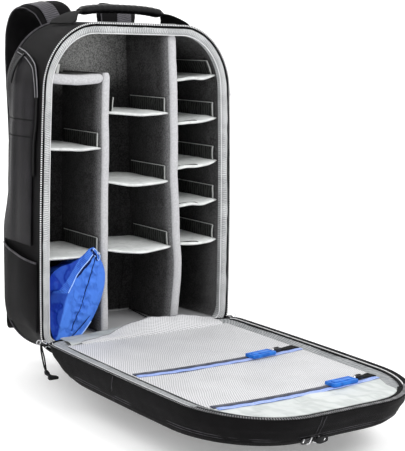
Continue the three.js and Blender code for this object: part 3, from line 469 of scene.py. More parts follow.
def sweep(
    name: str,
    path: np.ndarray,
    section: np.ndarray,
    side: Optional[np.ndarray] = None,
    size: Optional[np.ndarray] = None,
    closed: bool = False,
) -> bpy.types.Object:
    """A section carried along a route.

    Args:
        name: the piece's name.
        path: the route, one point a row.
        section: points across and out, as lengths or as shares of size.
        side: a wanted way across.
        size: width and thickness at each point of the route.
        closed: whether the route joins up with itself.

    Returns:
        The new closed object.
    """
    _, across, out = frames_along(path, side, closed)
    scale = np.ones((len(path), 2)) if size is None else np.asarray(size, float)
    grid = (
        path[:, None]
        + across[:, None] * (section[None, :, :1] * scale[:, None, :1])
        + out[:, None] * (section[None, :, 1:] * scale[:, None, 1:])
    )
    if not closed:
        return skin(name, grid, ring=True, caps=True)
    piece = skin(name, np.concatenate([grid, grid[:1]]), ring=True)
    merge(piece)
    return piece


def disc(radius: float, sides: int = 8) -> np.ndarray:
    """A round section."""
    turn = np.arange(sides) / sides * TURN
    return np.stack([np.cos(turn), np.sin(turn)], 1) * radius


def flat_section(crown: float = 0.0, steps: int = 9, square: float = 5.0) -> np.ndarray:
    """A flat section with rounded edges, one wide and one thick.

    Args:
        crown: how much thinner the edges are than the middle, as a share.
        steps: points along each face.
        square: how square the edges are.

    Returns:
        Points across and out, from -0.5 to 0.5.
    """
    turn = np.arange(4 * steps) / (4 * steps) * TURN
    x = np.sign(np.cos(turn)) * np.abs(np.cos(turn)) ** (2 / square) / 2
    y = np.sign(np.sin(turn)) * np.abs(np.sin(turn)) ** (2 / square) / 2
    return np.stack([x, y * (1 - crown * (2 * x) ** 2)], 1)


def tube(name: str, path: np.ndarray, radius: float, sides: int = 8, closed: bool = False) -> bpy.types.Object:
    """A round cord along a route."""
    return sweep(name, path, disc(radius, sides), closed=closed)


def smooth_path(points: Sequence, count: int) -> np.ndarray:
    """A smooth, evenly spaced route through a few points."""
    given = np.asarray(points, float)
    run = run_along(given)
    dense = eased(np.linspace(0, run[-1], count * 6), run, given)
    even = run_along(dense)
    at = np.linspace(0, even[-1], count)
    return np.stack([np.interp(at, even, dense[:, i]) for i in range(3)], 1)


def merge(piece: bpy.types.Object) -> None:
    """Joins doubled corners and turns all faces out."""
    work = bmesh.new()
    work.from_mesh(piece.data)
    bmesh.ops.remove_doubles(work, verts=work.verts, dist=1e-6)
    bmesh.ops.recalc_face_normals(work, faces=work.faces)
    work.to_mesh(piece.data)
    work.free()


def only(piece: bpy.types.Object) -> bpy.types.Object:
    """Makes a piece the only one selected, and the active one."""
    bpy.ops.object.select_all(action="DESELECT")
    piece.select_set(True)
    bpy.context.view_layer.objects.active = piece
    return piece


def settle(piece: bpy.types.Object) -> bpy.types.Object:
    """Applies a piece's modifiers and its place, so that its object sits at the origin."""
    only(piece)
    for modifier in list(piece.modifiers):
        bpy.ops.object.modifier_apply(modifier=modifier.name)
    bpy.ops.object.transform_apply(location=True, rotation=True, scale=True)
    return piece


def eased_block(
    name: str,
    size: Sequence[float],
    ease: float,
    shape: Optional[Callable[[], None]] = None,
    steps: int = 3,
) -> bpy.types.Object:
    """A small moulded block, made by hand from a cube and standing at the origin.

    Args:
        name: the piece's name.
        size: its three sides in millimetres.
        ease: the rounding of its edges.
        shape: further work in edit mode, done before the edges are rounded.
        steps: how many faces round an edge.

    Returns:
        The new object.
    """
    bpy.ops.object.select_all(action="DESELECT")
    bpy.ops.mesh.primitive_cube_add(size=1)
    piece = bpy.context.object
    piece.name = piece.data.name = name
    piece.scale = [side * MM for side in size]
    bpy.ops.object.transform_apply(scale=True)
    if shape:
        bpy.ops.object.mode_set(mode="EDIT")
        shape()
        bpy.ops.object.mode_set(mode="OBJECT")
    bevel = piece.modifiers.new("ease", "BEVEL")
    bevel.width = ease * MM
    bevel.segments = steps
    bevel.limit_method = "ANGLE"
    return settle(piece)


def pick_faces(way: Sequence[float]) -> None:
    """In edit mode, selects the faces that look a way."""
    work = bmesh.from_edit_mesh(bpy.context.object.data)
    for face in work.faces:
        face.select = face.normal.dot(Vector(way)) > 0.9
    work.select_flush_mode()
    bmesh.update_edit_mesh(bpy.context.object.data)


def moved(piece: bpy.types.Object, at: Sequence[float], turn: Optional[Matrix] = None) -> bpy.types.Object:
    """Puts a piece that stands at the origin at its place, in its mesh.

    Args:
        piece: the piece.
        at: its place in millimetres.
        turn: a rotation matrix for it.

    Returns:
        The piece.
    """
    place = Matrix.Translation(Vector(at) * MM)
    piece.data.transform(place @ turn.to_4x4() if turn else place)
    return piece


def row_of(name: str, unit: bpy.types.Object, places: np.ndarray, ways: Sequence[np.ndarray]) -> bpy.types.Object:
    """Many copies of one small shape, joined in one mesh.

    Args:
        name: the piece's name.
        unit: the shape, which is used up.
        places: where each copy stands, in millimetres.
        ways: three arrays of unit vectors that the shape's X, Y and Z take.

    Returns:
        The new object.
    """
    corners = np.array([v.co for v in unit.data.vertices]) / MM
    faces = [tuple(p.vertices) for p in unit.data.polygons]
    grid = places[:, None] + sum(corners[None, :, i : i + 1] * ways[i][:, None] for i in range(3))
    all_faces = [tuple(k * len(corners) + i for i in f) for k in range(len(places)) for f in faces]
    bpy.data.objects.remove(unit)
    return from_arrays(name, grid.reshape(-1, 3), all_faces)


def joined(name: str, pieces: Sequence[bpy.types.Object]) -> bpy.types.Object:
    """Joins pieces into one that takes a new name."""
    only(pieces[0])
    for piece in pieces[1:]:
        piece.select_set(True)
    bpy.ops.object.join()
    whole = bpy.context.object
    whole.name = whole.data.name = name
    return whole


# Finishes


class Wire:
    """A value inside a material, with arithmetic that adds the nodes for it."""

    def __init__(self, shader: "Shader", socket: bpy.types.NodeSocket) -> None:
        """Wraps a socket of a shader's node."""
        self.shader = shader
        self.socket = socket

    def math(self, operation: str, *others: object) -> "Wire":
        """A Math node on this value and others."""
        inputs = dict(enumerate((self, *others)))
        return self.shader.add("ShaderNodeMath", {"operation": operation}, inputs)

    def __add__(self, other: object) -> "Wire":
        """Sum."""
        return self.math("ADD", other)

    __radd__ = __add__

    def __mul__(self, other: object) -> "Wire":
        """Product."""
        return self.math("MULTIPLY", other)

    __rmul__ = __mul__

    def __sub__(self, other: object) -> "Wire":
        """Difference."""
        return self.math("SUBTRACT", other)

    def __rsub__(self, other: float) -> "Wire":
        """A number less this value."""
        return (self * -1.0) + other

    def __pow__(self, other: float) -> "Wire":
        """Power."""
        return self.math("POWER", other)

    def wave(self, pitch: float) -> "Wire":
        """A sine of this length, from -1 to 1, one wave a pitch in metres."""
        return (self * (TURN / pitch)).math("SINE")

    def step(self, low: float, high: float) -> "Wire":
        """Smooth step from 0 at low to 1 at high."""
        settings = {"interpolation_type": "SMOOTHSTEP"}
        inputs = {"Value": self, "From Min": low, "From Max": high}
        return self.shader.add("ShaderNodeMapRange", settings, inputs)


class Shader:
    """Builds one material from nodes."""

    def __init__(self, name: str) -> None:
        """Starts a material with one Principled surface."""
        self.material = bpy.data.materials.new(name)
        self.material.use_nodes = True
        self.tree = self.material.node_tree
        self.tree.nodes.clear()
        self.surface = self.tree.nodes.new("ShaderNodeBsdfPrincipled")
        output = self.tree.nodes.new("ShaderNodeOutputMaterial")
        self.tree.links.new(self.surface.outputs[0], output.inputs[0])

    def add(
        self, kind: str, settings: Optional[dict] = None, inputs: Optional[dict] = None, output: object = 0
    ) -> Wire:
        """Adds a node.

        Args:
            kind: the node's type.
            settings: its own settings, made first.
            inputs: values or wires for its sockets, by name or number.
            output: which of its outputs is meant.

        Returns:
            That output, wrapped.
        """
        node = self.tree.nodes.new(kind)
        for key, value in (settings or {}).items():
            setattr(node, key, value)
        for key, value in (inputs or {}).items():
            self.plug(node.inputs[key], value)
        return Wire(self, node.outputs[output])

    def plug(self, socket: bpy.types.NodeSocket, value: object) -> None:
        """Feeds a socket with a wire or with a plain value."""
        if isinstance(value, Wire):
            self.tree.links.new(value.socket, socket)
        else:
            socket.default_value = value

    def cloth(self) -> tuple[Wire, Wire]:
        """The piece's own map, in metres along and across the cloth."""
        u = self.split("UV")
        return u, self.beside(u, 1)

    def place(self) -> tuple[Wire, Wire, Wire]:
        """The point's place in the row frame, in metres."""
        x = self.split("Object")
        return x, self.beside(x, 1), self.beside(x, 2)

    def split(self, coords: str) -> Wire:
        """The first part of a texture coordinate."""
        return self.add("ShaderNodeSeparateXYZ", None, {0: self.add("ShaderNodeTexCoord", output=coords)})

    def beside(self, wire: Wire, output: int) -> Wire:
        """Another output of a wire's node."""
        return Wire(self, wire.socket.node.outputs[output])

    def noise(self, scale: float, detail: float = 2.0, rough: float = 0.5, stretch: Colour = (1, 1, 1)) -> Wire:
        """Cloudy noise in the row frame, with so many cells a metre."""
        coords = self.add("ShaderNodeTexCoord", output="Object")
        spread = self.add("ShaderNodeMapping", None, {"Vector": coords, "Scale": stretch})
        inputs = {"Vector": spread, "Scale": scale, "Detail": detail, "Roughness": rough}
        return self.add("ShaderNodeTexNoise", None, inputs)

    def blend(self, mask: object, low: object, high: object) -> Wire:
        """A colour between two, by a mask from 0 to 1."""
        inputs = {0: mask, 6: self.paint(low), 7: self.paint(high)}
        return self.add("ShaderNodeMix", {"data_type": "RGBA"}, inputs, 2)

    @staticmethod
    def paint(colour: object) -> object:
        """A colour with its alpha, or a wire as it is."""
        return colour if isinstance(colour, Wire) else (*colour, 1.0)

    def relief(self, height: Wire, strength: float, depth: float) -> None:
        """Bumps the surface by a height.

        Args:
            height: the height from 0 to 1.
            strength: how strongly it shows.
            depth: what a height of 1 stands for, in millimetres.
        """
        inputs = {"Height": height, "Strength": strength, "Distance": depth * MM}
        self.plug(self.surface.inputs["Normal"], self.add("ShaderNodeBump", None, inputs))

    def finish(self, colour: object, rough: object, **plain: float) -> bpy.types.Material:
        """Sets the surface's colour, roughness and plain values.

        Args:
            colour: its base colour.
            rough: its roughness.
            plain: further sockets, with underscores for spaces.

        Returns:
            The material.
        """
        self.plug(self.surface.inputs["Base Color"], self.paint(colour))
        self.plug(self.surface.inputs["Roughness"], rough)
        for key, value in plain.items():
            self.surface.inputs[key.replace("_", " ")].default_value = value
        return self.material


@dataclass(frozen=True)
class Woven:
    """Plain-woven cloth with soft creases, such as the black nylon outside."""

    name: str
    dark: Colour
    light: Colour
    rough: float = 0.62
    pitch: float = 1.1
    crease: float = 0.35
    sheen: float = 0.0
    shine: float = 0.05

    def material(self) -> bpy.types.Material:
        """The cloth's material."""
        shader = Shader(self.name)
        u, v = shader.cloth()
        weave = u.wave(self.pitch * MM) * v.wave(self.pitch * MM)
        cloud = shader.noise(26, 4, 0.6)
        lint = shader.noise(900, 1, 0.5)
        mask = (cloud.step(0.3, 0.75) * 0.55) + (weave * 0.1) + (lint.step(0.62, 0.8) * 0.35)
        shade = mask.step(0.0, 1.0)
        creases = shader.noise(55, 3, 0.55, (1, 1, 0.45))
        height = (creases * self.crease) + (weave * 0.06)
        shader.relief(height, 0.5, 2.2)
        rough = (cloud * 0.16) + (self.rough - 0.08)
        colour = shader.blend(shade, self.dark, self.light)
        return shader.finish(colour, rough, Sheen_Weight=self.sheen, Specular_IOR_Level=self.shine)


@dataclass(frozen=True)
class Brushed:
    """Brushed knit over foam. Its front edge and floor can be another colour. Its colour carries painted shade deep in
    the room, and can carry a painted pool of light in the top room and painted light towards the front edge.
    """

    name: str
    dark: Colour
    light: Colour
    edge: Optional[Colour] = None
    edge_at: float = -66.0
    floor: Optional[Colour] = None
    ribs: float = 0.0
    high: Optional[Colour] = None

    def material(self) -> bpy.types.Material:
        """The knit's material."""
        shader = Shader(self.name)
        fuzz = shader.noise(430, 2, 0.7)
        patch = shader.noise(60, 3, 0.5)
        shade = (fuzz.step(0.33, 0.68) * 0.75) + (patch.step(0.3, 0.7) * 0.3)
        colour = shader.blend(shade.step(0.0, 1.05), self.dark, self.light)
        x, y, z = shader.place()
        height = fuzz * 1.0
        # Painted light: a pool of light on the top room's walls, above the top shelf and towards the left.
        if self.high:
            bright = shader.blend(fuzz.step(0.3, 0.7), tuple(c * 0.32 for c in self.high), self.high)
            room = z.step(0.4, 0.45) * (1.0 - x.step(-0.03, 0.085))
            colour = shader.blend(room, colour, bright)
        # Painted shade: the colour darkens going back into the room, below the top room.
        deep = y.step(-0.06, 0.03) * (1.0 - z.step(0.4, 0.47)) * 0.6
        colour = shader.blend(deep, colour, tuple(c * 0.3 for c in self.dark))
        if self.ribs:
            twill = ((y * -1.0) + z + (x * 0.2)).wave(3.1 * MM)
            low = 1.0 - z.step(0.1, 0.3)
            front = 1.0 - y.step(-0.07, 0.0)
            show = low * front * self.ribs
            colour = shader.blend(twill.step(-0.2, 0.9) * show, colour, tuple(c * 2.6 for c in self.light))
            height = height + (twill * show * 0.8)
        if self.floor:
            colour = shader.blend(1.0 - z.step(0.0385, 0.0415), colour, self.floor)
        if self.edge:
            # Painted light: the faces grow lighter towards the front edge, where more light reaches in.
            near = (1.0 - y.step(-0.064, -0.034)) ** 1.4
            front_light_dim, front_light_full, bright = (tuple(c * share for c in self.edge) for share in (0.35, 0.8, 0.82))
            soft = shader.blend(fuzz.step(0.3, 0.7), front_light_dim, front_light_full)
            colour = shader.blend(near * 0.7, colour, soft)
            grain = shader.blend(fuzz.step(0.3, 0.7), bright, self.edge)
            edge_at = self.edge_at * MM
            colour = shader.blend(1.0 - y.step(edge_at - 0.0012, edge_at + 0.0012), colour, grain)
        shader.relief(height, 0.55, 0.7)
        return shader.finish(colour, 0.95, Sheen_Weight=0.05, Specular_IOR_Level=0.2)


@dataclass(frozen=True)
class Ribbed:
    """Padded edging or webbing with fine ribs across it."""

    name: str
    dark: Colour
    light: Colour
    pitch: float = 2.2
    rough: float = 0.8
    along: bool = False
    depth: float = 0.5
    shine: float = 0.3
    ribs: float = 0.36

    def material(self) -> bpy.types.Material:
        """The edging's material."""
        shader = Shader(self.name)
        u, v = shader.cloth()
        wander = shader.noise(120, 2, 0.5) * (self.pitch * MM * 1.2)
        rib = ((v if self.along else u) + wander).wave(self.pitch * MM)
        fuzz = shader.noise(500, 2, 0.7)
        patch = shader.noise(45, 2, 0.5).step(0.35, 0.65)
        shade = (rib * self.ribs) + (fuzz * 0.5) + (patch * 0.2) + 0.1
        colour = shader.blend(shade.step(0.0, 1.0), self.dark, self.light)
        shader.relief((rib * 0.5) + (fuzz * 0.3), 0.55, self.depth)
        return shader.finish(colour, self.rough, Sheen_Weight=0.03, Specular_IOR_Level=self.shine)


@dataclass(frozen=True)
class Satin:
    """Smooth nylon with small sharp creases that are darkened along their lines as painted shade, such as the shelves
    and the pouch.
    """

    name: str
    dark: Colour
    light: Colour
    rough: float = 0.45
    crease: float = 1.0
    size: float = 60.0
    stretch: Colour = (1.0, 1.0, 1.0)
    sheen: float = 0.03

    def material(self) -> bpy.types.Material:
        """The nylon's material."""
        shader = Shader(self.name)
        folds = shader.noise(self.size, 3, 0.55, self.stretch)
        sharp = (folds - 0.5).math("ABSOLUTE").step(0.0, 0.09)
        fine = shader.noise(self.size * 5, 2, 0.5)
        u, v = shader.cloth()
        weave = u.wave(1.3 * MM) * v.wave(1.3 * MM)
        # Painted shade: the colour is darker along the crease lines.
        shade = (sharp * 0.35) + (folds * 0.5) + (fine * 0.25)
        colour = shader.blend(shade.step(0.1, 1.0), self.dark, self.light)
        shader.relief((sharp * 0.5) + (fine * 0.3) + (weave * 0.05), 0.35 * self.crease, 1.3)
        rough = (fine * 0.15) + (self.rough - 0.07)
        return shader.finish(colour, rough, Sheen_Weight=self.sheen, Specular_IOR_Level=0.5)


@dataclass(frozen=True)
class PouchClothPaintedLight:
    """Bright nylon with painted light and shade: lighter on the pouch's right and on its raised band, darker as painted
    shade under its flap and on its left.
    """

    name: str
    deep: Colour
    light: Colour

    def material(self) -> bpy.types.Material:
        """The nylon's material."""
        shader = Shader(self.name)
        x, _, z = shader.place()
        # Painted light and shade: these masks mark the lit right of the pouch, its lit band and the shaded parts under
        # the flap and on its left.
        low = (x + 0.156 - (z * 0.237)).step(-0.0015, 0.0015)
        flap = (x + 0.2255 - (z * 0.83)).step(-0.001, 0.001)
        high = z.step(0.11, 0.116)
        band = (x + 0.241 - (z * 0.83)).step(-0.0008, 0.0008) * (1.0 - flap) * high
        ribs = ((x * 0.64) + (z * 0.77)).wave(0.0026).step(-0.6, 0.9)
        right = (low * (1.0 - high)) + (flap * high)
        folds = shader.noise(32, 3, 0.55, (1, 1, 0.6))
        sharp = (folds - 0.5).math("ABSOLUTE").step(0.0, 0.07)
        fine = shader.noise(170, 2, 0.5)
        # Painted light on the right and the band; painted shade under the flap, on the left and along the crease lines.
        shade = (right * 0.6) + (band * ((ribs * 0.25) + 0.25)) + (sharp * 0.2) + (folds * 0.4) + (fine * 0.1) - 0.2
        colour = shader.blend(shade.step(0.0, 1.0), self.deep, self.light)
        shader.relief((sharp * 0.7) + (fine * 0.3), 0.8, 2.0)
        return shader.finish(colour, (fine * 0.15) + 0.42, Specular_IOR_Level=0.12)


@dataclass(frozen=True)
class Net:
    """Fine slanting net over a lining."""

    name: str
    thread: Colour
    hole: Colour
    pitch: float = 3.3

    def material(self) -> bpy.types.Material:
        """The net's material."""
        shader = Shader(self.name)
        u, v = shader.cloth()
        wander = shader.noise(22, 2, 0.5) * 0.006
        first = (u + (v * 0.55) + wander).wave(self.pitch * MM)
        second = (v - (u * 0.35) + wander).wave(self.pitch * MM)
        gaps = (first + second).step(0.35, 1.15)
        slack = shader.noise(14, 2, 0.5).step(0.3, 0.7)
        thread = shader.blend(slack, tuple(c * 0.9 for c in self.thread), self.thread)
        colour = shader.blend(gaps * 0.85, thread, self.hole)
        shader.relief(1.0 - gaps, 0.6, 0.5)
        return shader.finish(colour, 0.6, Sheen_Weight=0.1)


@dataclass(frozen=True)
class Moulded:
    """Rubber, plastic or lacquered metal with a little wear."""

    name: str
    dark: Colour
    light: Colour
    rough: float = 0.45
    metal: float = 0.0
    shine: float = 0.5

    def material(self) -> bpy.types.Material:
        """The moulding's material."""
        shader = Shader(self.name)
        cloud = shader.noise(90, 3, 0.6)
        grain = shader.noise(900, 2, 0.6)
        colour = shader.blend(cloud.step(0.3, 0.7), self.dark, self.light)
        shader.relief(grain, 0.2, 0.15)
        rough = (cloud * 0.14) + (self.rough - 0.07)
        return shader.finish(colour, rough, Metallic=self.metal, Specular_IOR_Level=self.shine)


class Look(Enum):
    """The bag's finishes: each one's slot in the record, and its cloth or moulding."""

    SHELL = ("black_nylon", Woven("shell nylon", (0.0035, 0.0033, 0.0036), (0.0095, 0.009, 0.01)))
    GUSSET = ("black_nylon", Woven("gusset nylon", (0.0045, 0.004, 0.005), (0.016, 0.0145, 0.018), 0.5, shine=0.1))
    GRIP = (
        "satin_nylon",
        Woven("grip nylon", (0.004, 0.004, 0.0045), (0.011, 0.011, 0.012), 0.4, crease=0.25, shine=0.16),
    )
    WEBBING = (
        "black_webbing",
        Ribbed("black webbing", (0.003, 0.003, 0.0032), (0.009, 0.009, 0.0095), 1.5, along=True, shine=0.08),
    )
    STRIP = ("grey_webbing", Ribbed("grey webbing", (0.018, 0.017, 0.021), (0.078, 0.074, 0.088), 3.6, 0.45, True, 0.9))
    # The room lining's high colour is a painted pool of light in the top room; this lining and the divider knit are
    # also darkened as painted shade deep in the room.
    RIM = ("grey_lining", Ribbed("rim padding", (0.2, 0.205, 0.21), (0.6, 0.61, 0.615), 3.1, ribs=0.3))
    WALL = (
        "grey_lining",
        Brushed(
            "room lining", (0.016, 0.0155, 0.016), (0.075, 0.074, 0.075),
            floor=(0.42, 0.42, 0.43), ribs=1.0, high=(0.6, 0.6, 0.59),
        ),
    )
    BAND = ("grey_lining", Ribbed("panel band", (0.19, 0.2, 0.205), (0.4, 0.41, 0.42), 5.5, 0.75))
    # The divider knit's edge colour also lightens its faces towards the front as painted light, besides colouring its
    # real light binding.
    DIVIDER = (
        "divider_lining",
        Brushed("divider knit", (0.018, 0.0175, 0.018), (0.075, 0.073, 0.075), (0.5, 0.5, 0.515), -64.5, ribs=0.3),
    )
    SHELF = ("shelf_nylon", Satin("shelf nylon", (0.68, 0.7, 0.69), (0.86, 0.88, 0.87), 0.5, 0.3, 30))
    TAB = (
        "shelf_nylon",
        Ribbed("tab cloth", (0.008, 0.0085, 0.008), (0.045, 0.048, 0.045), 6.5, 0.7, depth=1.6, shine=0.15),
    )
    BINDING = ("shelf_nylon", Ribbed("tab binding", (0.3, 0.31, 0.3), (0.6, 0.61, 0.6), 1.6, along=True))
    EDGE = ("grey_lining", Ribbed("rim edge", (0.6, 0.61, 0.615), (0.86, 0.865, 0.87), 1.6, along=True))
    SATIN = ("shelf_nylon", Satin("panel satin", (0.42, 0.45, 0.44), (0.62, 0.645, 0.635), 0.5, 1.0, 26, (1, 0.28, 1)))
    HUMP = ("shelf_nylon", Satin("hinge satin", (0.3, 0.32, 0.315), (0.46, 0.48, 0.475), 0.6, 0.7, 30, (0.4, 1, 1)))
    NET = ("mesh_net", Net("pocket net", (0.66, 0.66, 0.675), (0.16, 0.165, 0.175)))
    # The pouch's deep colour is painted shade and its light colour is painted light.
    POUCH = ("blue_nylon", PouchClothPaintedLight("pouch nylon", (0.0005, 0.02, 0.25), (0.065, 0.2, 0.7)))
    # The pouch edge colour also paints the highlight along the band's lower edge.
    POUCH_EDGE = ("blue_nylon", Moulded("pouch edge", (0.2, 0.38, 0.85), (0.42, 0.6, 0.95), 0.45))
    # The stitching colour also paints the shadow strip beside the pouch's band.
    POUCH_DARK = ("blue_nylon", Moulded("pouch stitching", (0.001, 0.004, 0.04), (0.002, 0.01, 0.08), 0.6, shine=0.1))
    TRIM = ("blue_trim", Ribbed("blue trim", (0.2, 0.3, 0.66), (0.42, 0.52, 0.86), 4.0, 0.55))
    TAPE = ("navy_tape", Ribbed("navy tape", (0.02, 0.025, 0.05), (0.07, 0.08, 0.14), 1.4, 0.6))
    PULL = ("blue_rubber", Moulded("blue rubber", (0.008, 0.1, 0.45), (0.02, 0.19, 0.66), 0.45, shine=0.25))
    ZIP = ("zip_coil", Ribbed("zip tape", (0.002, 0.002, 0.0022), (0.006, 0.006, 0.0065), 1.2, 0.8, shine=0.05))
    # Painted glints: the zip teeth and coils are black plastic, coloured light grey and grey here to stand for the
    # glints along them.
    TOOTH_PAINTED_GLINT = ("zip_coil", Moulded("zip teeth", (0.72, 0.72, 0.73), (0.92, 0.92, 0.93), 0.35))
    COIL = ("zip_coil", Moulded("zip coil", (0.08, 0.08, 0.083), (0.26, 0.26, 0.27), 0.3))
    PIPING = ("white_piping", Ribbed("piping", (0.7, 0.7, 0.7), (0.93, 0.93, 0.93), 1.6, 0.5, True))
    METAL = ("black_metal", Moulded("slider metal", (0.01, 0.01, 0.011), (0.05, 0.05, 0.053), 0.25, 0.6))
    NICKEL = ("black_metal", Moulded("pull ring", (0.6, 0.6, 0.61), (0.85, 0.85, 0.87), 0.25, 0.8))
    RUBBER = ("black_rubber", Moulded("black rubber", (0.003, 0.003, 0.0035), (0.008, 0.008, 0.009), 0.5, shine=0.15))
    SEAM = ("black_nylon", Moulded("seam thread", (0.02, 0.019, 0.022), (0.06, 0.057, 0.065), 0.5, shine=0.2))
    EDGING = ("white_piping", Ribbed("grey piping", (0.1, 0.1, 0.11), (0.3, 0.3, 0.32), 1.6, 0.5, True))

    @property
    def slot(self) -> str:
        """The record's material slot."""
        return self.value[0]

    def material(self) -> bpy.types.Material:
        """The finish's material, made once."""
        finish = self.value[1]
        return bpy.data.materials.get(finish.name) or finish.material()


def dress(piece: bpy.types.Object, look: Look, *nodes: str, smooth: float = 50.0) -> bpy.types.Object:
    """Gives a piece its finish and ties it to the frame.

    Args:
        piece: the finished piece.
        look: its finish.
        nodes: the CAD nodes that it stands for.
        smooth: edges blunter than this many degrees are shaded smooth.

    Returns:
        The piece.
    """
    piece.data.materials.clear()
    piece.data.materials.append(look.material())
    only(piece)
    bpy.ops.object.shade_smooth_by_angle(angle=math.radians(smooth))
    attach(piece, "root")
    if nodes:
        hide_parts(*nodes)
    log.info("%s: %d faces, %s", piece.name, len(piece.data.polygons), look.slot)
    return piece


# Grids and folds


def normals_of(grid: np.ndarray, ring: bool = False) -> np.ndarray:
    """Unit normals of a grid, on the side where rows cross columns."""
    if ring:
        across = np.roll(grid, -1, 1) - np.roll(grid, 1, 1)
    else:
        across = np.gradient(grid, axis=1)
    down = np.gradient(grid, axis=0)
    out = np.cross(down, across)
    return out / np.maximum(np.linalg.norm(out, axis=-1), 1e-9)[..., None]


def ruffled(grid: np.ndarray, height: np.ndarray, ring: bool = False) -> np.ndarray:
    """A grid pushed out along its own normals by a height at each point."""
    return grid + normals_of(grid, ring) * height[..., None]


def closing(ring: np.ndarray, steps: int, least: float = 0.02) -> list:
    """Rings that shrink from one to its middle, which close a flat end."""
    middle = ring.mean(0)
    return [middle + (ring - middle) * share for share in np.linspace(1, least, steps)[1:]]


def gap_to(points: np.ndarray, line: np.ndarray) -> tuple[np.ndarray, np.ndarray]:
    """Distance from points to a broken line in a plane, and how far along it they are."""
    best = np.full(points.shape[:-1], 1e9)
    along = np.zeros(points.shape[:-1])
    run = run_along(line)
    for i in range(len(line) - 1):
        a, b = line[i], line[i + 1]
        share = np.clip(((points - a) @ (b - a)) / np.dot(b - a, b - a), 0, 1)
        gap = np.linalg.norm(points - (a + share[..., None] * (b - a)), axis=-1)
        nearer = gap < best
        best = np.where(nearer, gap, best)
        along = np.where(nearer, run[i] + share * (run[i + 1] - run[i]), along)
    return best, along


# The bag's body


@dataclass
class Shell:
    """The outer cloth wall with its piped seams and the padding on the back."""

    columns: int = 420
    rows: int = 48
    wall: float = 3.0
    inner_end: float = 72.0
    crease: float = 0.8
    seam_y: float = 38.0

    def build(self) -> None:
        """Makes and dresses all its pieces."""
        self.cloth()
        piping = tube("shell_seam", BAG.body_ring(self.seam_y, -0.6, 360), 1.7, 7, closed=True)
        dress(piping, Look.SEAM)
        self.back()

    def cloth(self) -> None:
        """The cloth wall, creased a little."""
        fine = np.linspace(0, 1, self.rows)
        depths = BAG.front + BAG.deep * fine
        inside = BAG.front + (self.inner_end - BAG.front) * fine[::2]
        outer = [BAG.body_ring(y, 0, self.columns) for y in depths]
        outer += closing(outer[-1], 14)
        inner = [BAG.body_ring(y, self.wall, self.columns) for y in inside]
        inner += closing(inner[-1], 4)
        grid = np.array(outer)
        soft = Ripple(3, 95)(grid) * 0.6 + Ripple(5, 38)(grid * (1, 0.5, 1)) * 0.4
        calm = fade(grid[..., 1], BAG.front, BAG.front + 9)
        grid = ruffled(grid, (soft - 1.2) * self.crease * 0.5 * calm, ring=True)
        rows = np.concatenate([np.array(inner)[::-1], grid])
        shell = skin("outer_shell", rows, ring=True, caps=True)
        dress(shell, Look.SHELL, "body_shell")

    def back(self) -> None:
        """The padded back, with soft channels down it."""
        rings = []
        profile = ((0.0, 0.0), (0.25, 0.03), (0.6, 0.12), (0.85, 0.32), (0.97, 0.62), (1.0, 1.1))
        for out, draw in profile:
            inset = 45 + draw * 12
            form = Form(inset, 50 + inset, BAG.tall - 31 - inset, 50, 50, 40)
            flat = BAG.loop(form, 240)
            rings.append(np.stack([flat[:, 0], np.full(240, 75.3 + out * 12), flat[:, 1]], 1))
        rings += closing(rings[-1], 26)
        grid = np.array(rings)
        channels = bump_at(np.abs(grid[..., 0]), 34, 5) + bump_at(grid[..., 2], 270, 5)
        soft = Ripple(8, 60)(grid) * 0.5 - channels * 5
        grid[len(profile) :, :, 1] += soft[len(profile) :] * 0.9
        pad = skin("back_padding", np.concatenate([closing(grid[0], 3)[::-1], grid]), ring=True, caps=True)
        dress(pad, Look.GUSSET, "back_pad")


